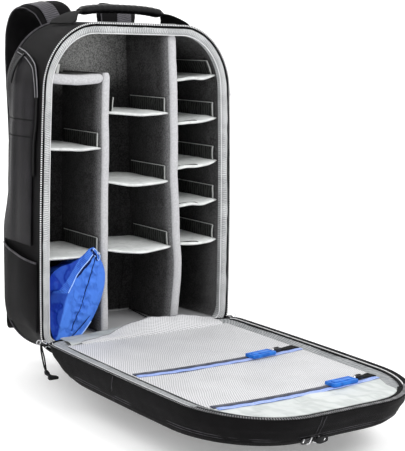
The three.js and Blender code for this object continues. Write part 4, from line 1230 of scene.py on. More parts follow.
@dataclass
class SidePocket:
    """The upper pocket with its curved zip, and the boot pocket below it."""

    side: Side
    seam_y: float = 37.0
    edge_high = (0.357, 0.44, 0.54, 0.64, 0.72, 0.777, 0.815, 0.84, 0.863, 0.882, 0.898, 0.909)
    edge_ahead = (0.14, 0.14, 0.14, 0.145, 0.11, 0.11, 0.125, 0.16, 0.24, 0.38, 0.55, 0.735)
    skin_gap: float = 0.55
    puff: float = 6.0
    boot_puff: float = 10.0
    boot_low: float = 54.0
    boot_high: float = 160.0
    boot_rise: float = 19.0

    def wall(self, y: np.ndarray, high: np.ndarray, out: np.ndarray) -> np.ndarray:
        """Points on the side wall, pushed out."""
        sign = self.side.value
        y, high, out = np.broadcast_arrays(np.asarray(y, float), high, out)
        x = np.empty(y.shape)
        for at in np.ndindex(y.shape):
            share = min(max((y[at] - BAG.front) / BAG.deep, 0), 1)
            x[at] = BAG.side_x(self.forms(round(share, 3)), high[at], sign)
        x = x - sign * BAG.pinch(y, high)
        return np.stack([x + sign * out, y, high], -1)

    @staticmethod
    def forms(share: float, kept: dict = {}) -> Form:
        """The bag's section at a depth, worked out once."""
        if share not in kept:
            kept[share] = BAG.body(share, 0)
        return kept[share]

    def edge(self, share: np.ndarray) -> tuple[np.ndarray, np.ndarray]:
        """Depth and height of the upper pocket's front edge at shares of its run."""
        places = np.linspace(0, 1, len(self.edge_high))
        ahead = eased(share, places, self.edge_ahead)
        return BAG.front + ahead * BAG.deep, eased(share, places, self.edge_high) * BAG.tall

    def build(self) -> None:
        """Makes and dresses all its pieces."""
        word = self.side.word
        self.upper(word)
        self.boot(word)
        self.zip(word)

    def upper(self, word: str) -> None:
        """The upper pocket, with folds that run down it."""
        rows, columns = 70, 44
        t = np.linspace(0, 1, rows)
        front, high = self.edge(t)
        s = np.linspace(0, 1, columns)
        y = front[:, None] + (self.seam_y - front[:, None]) * s
        z = np.repeat(high[:, None], columns, 1)
        place = np.stack([y * 0, y, z], -1)
        lobe = np.sin(np.pi * np.clip(t + 0.02, 0, 1))[:, None] ** 0.55 * np.sin(np.pi * s) ** 0.7
        folds = Ripple(21, 34)(place * (1, 1, 0.22)) * 1.3
        seams = bump_at(z, 0.72 * BAG.tall, 2.2) + bump_at(z, 0.665 * BAG.tall, 2.2)
        lift = self.skin_gap + np.clip(lobe * (self.puff + folds - seams * 1.8), 0, None)
        top, low = self.wall(y, z, lift + 2), self.wall(y, z, lift * 0 + self.skin_gap)
        pocket = slab(f"side_pocket_cloth_{word}", top, low, 0.2)
        dress(pocket, Look.GUSSET, f"side_pocket_{word}")
        for i, level in enumerate((0.72, 0.665)):
            row = int(np.argmin(np.abs(high / BAG.tall - level)))
            line = top[row] + (self.side.value * 0.4, 0, 0)
            dress(tube(f"side_pocket_seam_{word}_{i + 1}", line, 0.8, 6), Look.ZIP)

    def boot(self, word: str) -> None:
        """The boot pocket, open at the top, with a bound mouth."""
        rows, columns = 40, 40
        t = np.linspace(0, 1, rows)[:, None]
        s = np.linspace(0, 1, columns)[None]
        y = BAG.front + 5 + (self.seam_y - BAG.front - 5) * s + 0 * t
        top_z = self.boot_high + self.boot_rise * s
        z = self.boot_low + (top_z - self.boot_low) * t
        lobe = np.sin(np.pi / 2 * t) * np.sin(np.pi * s) ** 0.7
        place = np.stack([y * 0, y, z], -1)
        folds = Ripple(31, 40)(place * (1, 1, 0.4)) * 0.8 * lobe
        lift = self.skin_gap + self.boot_puff * lobe + folds
        top, low = self.wall(y, z, lift + 2), self.wall(y, z, np.clip(lift, self.skin_gap, None))
        pocket = slab(f"boot_pocket_cloth_{word}", top, low, 0.5)
        dress(pocket, Look.SHELL, f"boot_pocket_{word}")
        mouth = (top[-1] + low[-1]) / 2 + (0, 0, 0.6)
        dress(tube(f"boot_pocket_binding_{word}", mouth, 1.7, 8), Look.SEAM)

    def zip(self, word: str) -> None:
        """The upper pocket's curved zip, with a line of piping on both sides."""
        t = np.linspace(0.2, 1, 90)
        y, z = self.edge(t)
        path = self.wall(y - 5, z + 4 * fade(t, 0.6, 0.75), 1.6 + 0 * y)
        way = (self.side.value, 0, 0.35)
        along = np.gradient(path, axis=0)
        across = np.cross(way, along / np.linalg.norm(along, axis=1)[:, None])
        tape = sweep(f"side_zip_tape_{word}", path, flat_section() * (7, 2), across)
        dress(tape, Look.ZIP, f"side_zip_{word}")
        across /= np.linalg.norm(across, axis=1)[:, None]
        lines = [
            tube(f"line_{sign}", path[30:] + across[30:] * 3.6 * sign + (self.side.value * 0.8, 0, 0), 0.85, 6)
            for sign in (-1, 1, 3.1)
        ]
        dress(joined(f"side_zip_piping_{word}", lines), Look.EDGING)


@dataclass
class Opening:
    """The padded rim, the lined room behind it and the long zip."""

    rim_columns: int = 640
    columns: int = 400
    room_inset: float = 15.7
    room_back: float = 63.7
    back_foot: float = 45.0
    tooth_pitch: float = 3.2
    corner_share: float = 0.106

    rim_section = (
        (3.4, -73.0),
        (3.8, -75.6),
        (5.6, -77.3),
        (9.0, -78.4),
        (12.6, -78.0),
        (15.2, -75.6),
        (16.3, -71.5),
        (16.4, -66.0),
        (13.0, -62.0),
        (6.0, -63.0),
        (3.6, -67.0),
        (3.4, -73.0),
    )

    def build(self) -> None:
        """Makes and dresses all its pieces."""
        self.rim()
        self.room()
        self.zip()

    def rim(self) -> None:
        """The padded rim, as a closed hoop, and the thin edge inside it."""
        steps = np.linspace(0, 1, 34)
        section = eased(steps, np.linspace(0, 1, len(self.rim_section)), self.rim_section)
        rings = [BAG.body_ring(y, inset, self.rim_columns) for inset, y in section[:-1]]
        grid = np.array(rings)
        swell = Ripple(41, 70)(grid) * 0.35 + Ripple(42, 17)(grid) * 0.22
        show = fade(-grid[..., 1], 66, 74)
        grid = ruffled(grid, np.minimum(swell * show, 0.5), ring=True)
        rim = skin("rim_padding", np.concatenate([grid, grid[:1]]), ring=True)
        merge(rim)
        dress(rim, Look.RIM)
        line = BAG.body_ring(-75.4, 16.0, 520)
        dress(tube("rim_edge", line, 0.75, 6, closed=True), Look.EDGE)

    def room(self) -> None:
        """The room's lining: walls, floor and back, soft to the touch."""
        depth = -70 + (self.room_back + 70) * np.linspace(0, 1, 42)
        inner = [self.room_ring(y) for y in depth]
        rounding = ((63.7, 1.2), (64.0, 3.0))
        inner += [self.room_ring(y, extra) for y, extra in rounding]
        inner += closing(inner[-1], 40)
        grid = np.array(inner)
        soft = Ripple(51, 120)(grid) * 0.5 + Ripple(52, 45)(grid) * 0.25
        grid = ruffled(grid, (soft - 0.7) * 0.8 * -1 * fade(grid[..., 1], -70, -55), ring=True)
        outside = -66 + (71.5 + 66) * np.linspace(0, 1, 16)
        outer = [BAG.body_ring(y, 3.5, self.columns) for y in outside]
        outer += closing(outer[-1], 4)
        rows = np.concatenate([grid[::-1], np.array(outer)])
        lining = skin("room_lining", rows, ring=True, caps=True)
        dress(lining, Look.WALL, "body_liner")
        routes = (
            ((69, 61, 39.3), (62, 10, 39.3), (56, -35, 39.3)),
            ((-53, -69, 39.3), (-45, -74, 39.6), (-12, -49, 39.3)),
        )
        lines = [tube("line", smooth_path(route, 30), 0.8, 6) for route in routes]
        dress(joined("floor_lines", lines), Look.ZIP)

    def room_ring(self, y: float, extra: float = 0.0) -> np.ndarray:
        """The lining's inner face at a depth."""
        share = min(max((y - BAG.front) / BAG.deep, 0), 1)
        form = BAG.body(share, self.room_inset + extra)
        rim = BAG.body(0, self.room_inset + extra)
        t = fade(np.array(y), -60, 20)
        mixed = [a + (b - a) * t for a, b in zip(self.plain(rim), self.plain(form))]
        mixed[5] = rim.foot + (self.back_foot - self.room_inset - rim.foot) * t
        flat = BAG.loop(Form(*mixed), self.columns)
        return np.stack([flat[:, 0], np.full(self.columns, y), flat[:, 1]], 1)

    def plain(self, form: Form) -> list:
        """A section's values, with the room's own foot and depth."""
        inset = self.room_inset
        return [inset, BAG.rim_lift + inset, BAG.tall - inset, form.across, form.down, form.foot]

    def zip(self) -> None:
        """The long zip from one foot corner over the crown to the other, with its teeth."""
        run = self.over_crown(BAG.body_ring(-76.6, 2.6, 1400, share=0))
        outward = self.over_crown(BAG.body_ring(-76.6, -5, 1400, share=0)) - run
        outward[:, 1] = 0
        tape = sweep("opening_zip_tape", run[::4], flat_section() * (6.6, 1.8), outward[::4])
        dress(tape, Look.ZIP, "body_zip")
        edge = self.over_crown(BAG.body_ring(-77.7, 0.9, 1400, share=0))
        teeth("opening_zip_teeth", edge, outward, (0, -1, 0), self.tooth_pitch)
        crown = self.over_crown(BAG.body_ring(-69, -0.6, 1400))
        crown = crown[(crown[:, 2] > 500) & (np.abs(crown[:, 0] + 8) < 78)]
        crown = crown + np.stack([crown[:, 0] * 0, 2.2 * np.sin(crown[:, 0] / 11), crown[:, 0] * 0], 1)
        dress(tube("crown_seam", crown[::4], 0.8, 5), Look.EDGE)

    def over_crown(self, ring: np.ndarray) -> np.ndarray:
        """The part of a ring between its two foot corners, over the crown."""
        start = round(len(ring) * self.corner_share)
        return ring[start : len(ring) - start]


def teeth(
    name: str,
    path: np.ndarray,
    outward: np.ndarray,
    up: Sequence[float],
    pitch: float,
    size: Sequence[float] = (1.5, 2.3, 1.5),
    look: Look = Look.TOOTH_PAINTED_GLINT,
) -> bpy.types.Object:
    """A row of zip teeth along a route.

    Args:
        name: the piece's name.
        path: the route.
        outward: the way across the zip at each point.
        up: the way out of the zip's face.
        pitch: the distance between teeth.
        size: a tooth's length along the route, width and height.
        look: the teeth's finish.

    Returns:
        The row as one piece.
    """
    run = run_along(path)
    at = np.arange(pitch / 2, run[-1], pitch)
    places = np.stack([np.interp(at, run, path[:, i]) for i in range(3)], 1)
    across = np.stack([np.interp(at, run, outward[:, i]) for i in range(3)], 1)
    across /= np.linalg.norm(across, axis=1)[:, None]
    ways = np.broadcast_to(np.asarray(up, float), places.shape)
    along = np.cross(across, ways)
    unit = eased_block("tooth_painted_glint", size, 0.35, steps=1)
    return dress(row_of(name, unit, places, (along, across, ways)), look, smooth=40)


# Inside the bag


@dataclass(frozen=True)
class Divider:
    """An upright padded divider with a bright nose and a soft bow."""

    name: str
    x: float
    thick: float
    top: float
    highs: tuple
    shifts: tuple
    bow: float = 11.0
    foot: float = 38.0
    front: float = -69.0
    back: float = 63.4
    seed: int = 61

    def middle(self, high: np.ndarray) -> np.ndarray:
        """X of its middle at a height."""
        share = np.clip((np.asarray(high, float) - self.foot) / (self.top - self.foot), 0, 1)
        return self.x + self.bow * np.interp(share, self.highs, self.shifts)

    def build(self) -> None:
        """Makes and dresses the divider and the strips at its root."""
        rows = 130
        t = (1 - np.cos(np.pi * np.linspace(0, 1, rows))) / 2
        z = self.foot + (self.top - self.foot) * t
        x = self.x + self.bow * eased(t, self.highs, self.shifts)
        ends = np.clip(np.minimum(t, 1 - t) * (self.top - self.foot) / 7, 0, 1)
        full = 0.5 + 0.5 * np.sqrt(1 - (1 - ends) ** 2)
        section = self.section()
        grid = np.empty((rows, len(section), 3))
        grid[..., 0] = x[:, None] + section[None, :, 0] * full[:, None]
        grid[..., 1] = section[None, :, 1]
        grid[..., 2] = z[:, None]
        wave = Ripple(self.seed, 80)(grid[:, :1]) * 0.7
        calm = fade(-grid[..., 1], 0, 60) * ends[:, None]
        grid[..., 0] += wave * calm
        grid = ruffled(grid, -0.25 * np.abs(Ripple(self.seed + 1, 26)(grid)) * calm, ring=True)
        body = skin(f"{self.name}_padding", grid, ring=True, caps=True)
        dress(body, Look.DIVIDER, self.name)
        strips = []
        for sign in (-1, 1):
            s = np.linspace(0, 1, 5)
            root = self.middle(z[:, None]) + sign * (self.thick / 2 - 0.5)
            across = root + sign * s * 19
            wave = 0.25 * Ripple(self.seed + 2, 30)(np.stack([across, across * 0, z[:, None] + 0 * across], -1))
            top = np.stack([across, 61.9 + wave, z[:, None] + 0 * across], -1)
            strips.append(slab(f"strip_{sign}", top, top + (0, 1.3, 0)))
        dress(joined(f"{self.name}_strips", strips), Look.WALL)

    def section(self) -> np.ndarray:
        """Its outline seen from above: a long body with a rounded nose."""
        half = self.thick / 2
        turn = np.linspace(0, np.pi, 19)
        nose = np.stack([half * np.cos(turn), self.front + 5.4 - 5.4 * np.sin(turn) ** 0.8], 1)
        side = np.linspace(self.front + 8, self.back, 22)
        left = np.stack([np.full(22, -half), side], 1)
        right = np.stack([np.full(22, half), side[::-1]], 1)
        back = np.stack([np.linspace(-half, half, 5)[1:-1], np.full(3, self.back)], 1)
        return np.concatenate([nose, left, back, right])


LEFT_DIVIDER = Divider(
    "divider_left", -55.5, 13, 445.8, (0, 0.2, 0.45, 0.7, 0.93, 1), (0.09, 0.05, 0, -0.05, 0, -0.05)
)
RIGHT_DIVIDER = Divider(
    "divider_right",
    72,
    15,
    505,
    (0, 0.05, 0.13, 0.21, 0.32, 0.45, 0.62, 0.8, 0.93, 1),
    (0.36, 0.59, 0.91, 1, 0.64, 0.23, 0, -0.27, -0.55, -0.77),
    seed=66,
)


class Column(Enum):
    """The room's three columns."""

    LEFT = "left"
    MIDDLE = "middle"
    RIGHT = "right"

    def faces(self, high: np.ndarray) -> tuple[np.ndarray, np.ndarray]:
        """X of the faces to the left and the right of the column at a height."""
        rim = BAG.body(0, 15.7)
        left, right = LEFT_DIVIDER.middle(high), RIGHT_DIVIDER.middle(high)
        half_left, half_right = LEFT_DIVIDER.thick / 2, RIGHT_DIVIDER.thick / 2
        if self is Column.LEFT:
            return BAG.side_x(rim, high, -1) + 0.9, left - half_left - 0.4
        if self is Column.MIDDLE:
            return left + half_left + 0.4, right - half_right - 0.4
        return right + half_right + 0.4, BAG.side_x(rim, high, 1) - 0.9


@dataclass(frozen=True)
class TopShelf:
    """The short padded shelf over the left column."""

    z: float = 437.3
    thick: float = 15.0
    sag: float = 2.4
    front: float = -69.0
    back: float = 63.4

    def build(self) -> None:
        """Makes and dresses the shelf."""
        t = (1 - np.cos(np.pi * np.linspace(0, 1, 60))) / 2
        left, right = Column.LEFT.faces(np.array(self.z + 7))[0], Column.LEFT.faces(np.array(self.z))[1]
        x = left + (right - left) * t
        half = self.thick / 2
        turn = np.linspace(0, np.pi, 19)
        nose = np.stack([self.front + 5.4 - 5.4 * np.sin(turn) ** 0.8, half * np.cos(turn)], 1)
        side = np.linspace(self.front + 8, self.back, 22)
        below = np.stack([side, np.full(22, -half)], 1)
        above = np.stack([side[::-1], np.full(22, half)], 1)
        section = np.concatenate([nose, below, above])
        grid = np.empty((60, len(section), 3))
        grid[..., 0] = x[:, None]
        grid[..., 1] = section[None, :, 0]
        drop = self.sag * np.sin(np.pi * t)
        end = np.clip((1 - t) * (right - left) / 9, 0, 1)
        full = 0.55 + 0.45 * np.sqrt(1 - (1 - end) ** 2)
        grid[..., 2] = self.z - drop[:, None] + section[None, :, 1] * full[:, None]
        grid = ruffled(grid, -0.3 * np.abs(Ripple(71, 26)(grid)), ring=True)
        body = skin("top_shelf_padding", grid, ring=True, caps=True)
        dress(body, Look.DIVIDER, "top_shelf")
        up = np.linspace(0, 1, 12)[:, None]
        across = np.linspace(0, 3.6, 5)[None]
        flap = np.stack([-141.5 + across + 5 * up, -65 + 0 * across + 3 * up, 441 + 17 * up + 0 * across], -1)
        dress(slab("top_shelf_flap", flap, flap + (0, 1.4, 0)), Look.BINDING)


@dataclass(frozen=True)
class Shelf:
    """A light shelf with a dark fastening tab up each end."""

    name: str
    column: Column
    left: float
    right: float
    sag: float
    bow: float
    curl: float = 0.0
    lean: float = 0.0
    thick: float = 5.0
    tab_thick: float = 2.2
    tab_tall: float = 25.0
    tab_back: float = 5.0
    front: float = -67.0
    back: float = 49.7
    seed: int = 80

    def build(self) -> None:
        """Makes and dresses the board, the tabs and their bindings."""
        self.board()
        tabs, lines = [], []
        for side in Side:
            tab, line = self.tab(side)
            tabs.append(tab)
            lines.append(line)
        dress(joined(f"{self.name}_tabs", tabs), Look.TAB)
        dress(joined(f"{self.name}_bindings", lines), Look.BINDING)
        if self.curl:
            self.fold()

    def board(self) -> None:
        """The shelf's board, sagging and bowed forward in its middle."""
        rows, columns = 30, 44
        deep, share = np.linspace(0, 1, rows)[:, None], np.linspace(0, 1, columns)[None]
        ends = self.left + (self.right - self.left) * share
        faces = self.column.faces(ends)
        x = faces[0] + (faces[1] - faces[0]) * share + 0 * deep
        arch = np.sin(np.pi * share)
        front = self.front + self.bow * 9
        shift = self.bow * 9 * arch**0.7 * (1 - fade(deep, 0, 0.35))
        y = front + (self.back - front) * deep - shift
        drop = eased(deep[:, 0], (0, 0.3, 1), (1, 0.7, 0))[:, None]
        place = np.stack([x, y, x * 0], -1)
        lip = 1 - fade(deep, 0.0, 0.22)
        wrinkle = Ripple(self.seed, 34)(place * (1, 0.6, 1)) * lip * (0.2 + 0.5 * self.curl)
        sheet = Ripple(self.seed + 1, 48)(place) * 0.4
        curl = self.curl * 1.6 * lip * bump_at(share, 0.33, 0.22)
        z = ends - self.sag * 6 * drop * arch + wrinkle + sheet + curl
        low = np.stack([x, y, z], -1)
        pinch = 0.62 + 0.38 * np.clip(np.minimum(share, 1 - share) * 9, 0, 1)
        rise = self.thick * pinch * (0.82 + 0.18 * fade(deep, 0.0, 0.1))
        top = low + np.stack([x * 0, x * 0, rise + 0 * x], -1)
        board = slab(f"{self.name}_board", top, low, 0.6)
        dress(board, Look.SHELF, self.name)

    def fold(self) -> None:
        """A dark cord of painted shade where the cover is folded over at the left of the lip."""
        high = np.array(self.left)
        start, end = self.column.faces(high)
        front = self.front + self.bow * 9
        spots = ((0.01, 7.5, 4.0), (0.2, 2.5, 5.9), (0.38, 0.0, 6.2), (0.46, -3.5, 5.4), (0.49, -6.6, 3.2))
        drop, slope = self.sag * 6, self.right - self.left
        route = [
            (start + (end - start) * s, front + ahead, self.left + slope * s + up - drop * np.sin(np.pi * s))
            for s, ahead, up in spots
        ]
        # Painted shade: dark tab cloth along the shadow under the folded lip.
        dress(tube(f"{self.name}_fold", smooth_path(route, 40), 0.9, 6), Look.TAB)

    def tab(self, side: Side) -> tuple[bpy.types.Object, bpy.types.Object]:
        """A tab that stands against a face, and the binding round it."""
        foot = self.left if side is Side.LEFT else self.right
        rows, columns = 12, 36
        up, deep = np.linspace(0, 1, rows)[:, None], np.linspace(0, 1, columns)[None]
        z = foot + 1.5 + (self.tab_tall - 1.5) * up + 0 * deep
        face = self.column.faces(z)[0 if side is Side.LEFT else 1]
        front = self.front + self.bow * 9 + self.tab_back
        y = front + (self.back - front) * deep + 0 * up
        ruffle = np.abs(Ripple(self.seed + 2, 15)(np.stack([y * 0, y, z * 0.35], -1)))
        lift = 0.2 + ruffle * (0.3 + 0.9 * self.curl) * np.sin(np.pi * up) ** 0.5
        if side is Side.LEFT and self.column is Column.MIDDLE:
            lift = lift + self.lean * (0.75 + 0.25 * up) * (1 - fade(deep, 0, 0.3))
        inner = face - side.value * lift
        outer = inner - side.value * self.tab_thick
        tab = slab("tab", np.stack([outer, y, z], -1), np.stack([inner, y, z], -1))
        edge_x = outer - side.value * 0.1
        rise = np.stack([edge_x[:, 0], y[:, 0], z[:, 0]], -1)
        top = np.stack([edge_x[-1], y[-1], z[-1]], -1)
        line = tube("binding", top, 0.7, 6)
        line = joined("binding", (line, tube("front", rise, 1.25, 6)))
        return tab, line


SHELVES = (
    Shelf("shelf_middle_1", Column.MIDDLE, 382.9, 380.9, 0.5, 0.78, lean=9.5, seed=101),
    Shelf("shelf_middle_2", Column.MIDDLE, 275.1, 272.0, 1, 1, seed=111),
    Shelf("shelf_middle_3", Column.MIDDLE, 167.0, 164.1, 0.83, 1, seed=121),
    Shelf("shelf_left_1", Column.LEFT, 330.8, 328.2, 0.33, 0.44, seed=131),
    Shelf("shelf_left_2", Column.LEFT, 162.0, 165.0, 0.33, 0.44, seed=141),
    Shelf("shelf_right_1", Column.RIGHT, 433.0, 440.8, 0.5, 0.56, 1, seed=151),
    Shelf("shelf_right_2", Column.RIGHT, 362.1, 373.0, 0.5, 0.67, 1, seed=161),
    Shelf("shelf_right_3", Column.RIGHT, 291.0, 301.1, 0.5, 0.67, 1, seed=171),
    Shelf("shelf_right_4", Column.RIGHT, 230.0, 236.0, 0.5, 0.67, 1, seed=181),
    Shelf("shelf_right_5", Column.RIGHT, 166.0, 170.0, 0.5, 0.67, 1, seed=191),
)


@dataclass(frozen=True)
class Pouch:
    """The drawstring pouch that lies in the left column, its neck up and its hem forward."""

    middle: tuple = (-110.0, 104.0)
    edge_y: float = -75.0
    swell: float = 8.0
    depth: float = 86.0
    waist: float = 0.93
    wall_x: float = -64.6
    floor_z: float = 38.3
    shelf_z: float = 160.0

    outline = (
        (-80, 179), (-72, 166), (-61, 143), (-60, 122), (-66, 98), (-75, 78), (-86, 60), (-98, 46),
        (-112, 34), (-124, 28), (-137, 27), (-147, 38), (-155, 62), (-157, 105), (-155, 140), (-140, 152),
        (-118, 158), (-99, 168), (-88, 177), (-80, 179),
    )
    seam = ((-79, 162), (-84, 146), (-92, 121), (-102, 95), (-112, 74), (-120, 52))
    band = ((-88, 173), (-103, 159), (-119, 140), (-134, 118))
    hem = ((-139, 39), (-123, 41), (-105, 53), (-89, 71))
    ridge_z = (30, 70, 100, 118)
    ridge_x = (-147, -138, -128, -128)

    def build(self) -> None:
        """Makes and dresses the pouch and its fine parts."""
        columns = 300
        rim = smooth_path([(x, 0, z) for x, z in self.outline], columns + 1)[:-1, ::2]
        middle = np.array(self.middle)
        out = np.concatenate([np.linspace(0.02, 0.9, 80), np.linspace(0.91, 1, 12)])
        back = np.concatenate([np.linspace(0.99, self.waist, 6), np.linspace(self.waist, 0.02, 26)[1:]])
        shares = np.concatenate([out, back])
        flat = middle + shares[:, None, None] * (rim - middle)
        x, z = flat[..., 0], flat[..., 1]
        front = np.arange(len(shares)) < len(out)
        round_off = (1 - shares**2.5)[:, None] ** 0.6
        calm = (1 - shares**8)[:, None]
        y_front = self.edge_y - self.swell * round_off + self.relief(x, z) * calm
        near = 5 * (1 - shares) / (1 - self.waist)
        full = np.sqrt(np.clip(1 - (shares / self.waist) ** 2, 0, 1))
        y_back = self.edge_y + np.where(shares > self.waist, near, 5 + self.depth * full)[:, None] + 0 * x
        y = np.where(front[:, None], y_front, y_back)
        inside = y > self.edge_y + 4.5
        x = np.where(inside, np.clip(x, None, self.wall_x), x)
        z = np.where(inside, np.clip(z, self.floor_z, self.shelf_z), z)
        grid = np.stack([x, y, z], -1)
        body = skin("pouch_body", grid, ring=True, caps=True)
        dress(body, Look.POUCH, "rain_cover")
        self.details(grid[: len(out)])

    def relief(self, x: np.ndarray, z: np.ndarray) -> np.ndarray:
        """How far the cloth's front is pushed back, in millimetres."""
        flat = np.stack([x, z], -1)
        place = np.stack([x, 0 * x, z], -1)
        gap, run = gap_to(flat, np.array(self.seam, float))
        push = 2.4 * np.exp(-((gap / 1.5) ** 2))
        pucker = np.sin(run * TURN / 15 + 1.3 * np.sin(run / 13))
        push += pucker * 2.5 * np.exp(-((gap / 8) ** 2)) * fade(gap, 0.3, 3)
        gap, _ = gap_to(flat, np.array(self.hem, float))
        push += 2.2 * np.exp(-((gap / 1.3) ** 2))
        ridge = np.interp(z, self.ridge_z, self.ridge_x)
        low = 1 - fade(z, 114, 119)
        push += low * (15 * fade(ridge - x, -1, 24) - 2.2 * bump_at(x, ridge, 5))
        gap, _ = gap_to(flat, np.array(self.band, float))
        push -= 2.0 * (1 - fade(gap, 5.6, 6.8)) * (1 + 0.12 * np.sin(x * 2.6))
        above = fade((z - 121) - 1.3 * (x + 135), -4, 10) * (1 - low)
        push += above * 5 * fade(gap, 6, 26)
        turn = np.arctan2(x + 78, 196 - z)
        push += np.sin(turn * 17) * 1.1 * fade(z, 120, 168)
        long = np.abs(Ripple(211, 58)(place * (1, 1, 0.45)))
        fine = np.abs(Ripple(212, 25)(place * (1, 1, 0.6)))
        return push + long * 2.2 + fine * 1.1

    def surface(self, line: Sequence, grid: np.ndarray, out: float, count: int = 80) -> np.ndarray:
        """A line in x and z laid on the pouch's front, lifted a little."""
        path = smooth_path([(x, 0, z) for x, z in line], count)
        spots = grid.reshape(-1, 3)
        for point in path:
            gap = np.hypot(spots[:, 0] - point[0], spots[:, 2] - point[2])
            point[1] = spots[np.argsort(gap)[:5], 1].min() - out
        level = np.convolve(np.pad(path[:, 1], 2, mode="edge"), np.ones(5) / 5, mode="valid")
        return np.stack([path[:, 0], level, path[:, 2]], 1)

    def details(self, grid: np.ndarray) -> None:
        """The dark seam with a strip of painted shadow beside the band, the bright hems with a painted highlight along
        the band's lower edge, and the drawstring neck.
        """
        dark = [tube("seam", self.surface(self.seam, grid, -0.2), 0.85, 6)]
        dark.append(tube("hem", self.surface(self.hem, grid, -0.3), 0.65, 6))
        # Painted shadow: a dark strip, widest in its middle, beside the band's lower edge.
        shade = [(x + 7.5, z - 5.6) for x, z in self.band[:3]]
        size = np.stack([1 + 2.4 * np.sin(np.linspace(0, np.pi, 80)), np.full(80, 0.7)], 1)
        dark.append(sweep("shade", self.surface(shade, grid, -0.3), disc(1, 8), (1, 0, 0), size))
        hole = np.array([(-83, 172), (-79, 167), (-76, 161)])
        for at, size in zip(hole, (3.4, 3.6, 2.4)):
            line = [(at[0] - size, at[1] + size * 1.2), (at[0], at[1]), (at[0] + size * 0.5, at[1] - size * 1.4)]
            path = self.surface(line, grid, 0.4, 14)
            dark.append(sweep("hole", path, disc(0.5, 8), (1, 0, 0), np.full((14, 2), size)))
        dress(joined("pouch_seam_and_shadow", dark), Look.POUCH_DARK)
        # Painted highlight: a bright line along the band's lower edge.
        edge = [(x + 4.2, z - 4.4) for x, z in self.band]
        lines = [tube("edge", self.surface(edge, grid, 0.2), 0.8, 6)]
        rim = [(-122, 29.5), (-110, 36), (-97, 48), (-85, 63)]
        lines.append(tube("hem", self.surface(rim, grid, -0.2), 0.9, 6))
        loop = ((-85, 172), (-81, 177), (-75, 172), (-70, 164), (-73, 158), (-78, 164), (-82, 167))
        lines.append(tube("neck", self.surface(loop, grid, 0.9), 0.8, 6))
        dress(joined("pouch_hems", lines), Look.POUCH_EDGE)


# The front panel


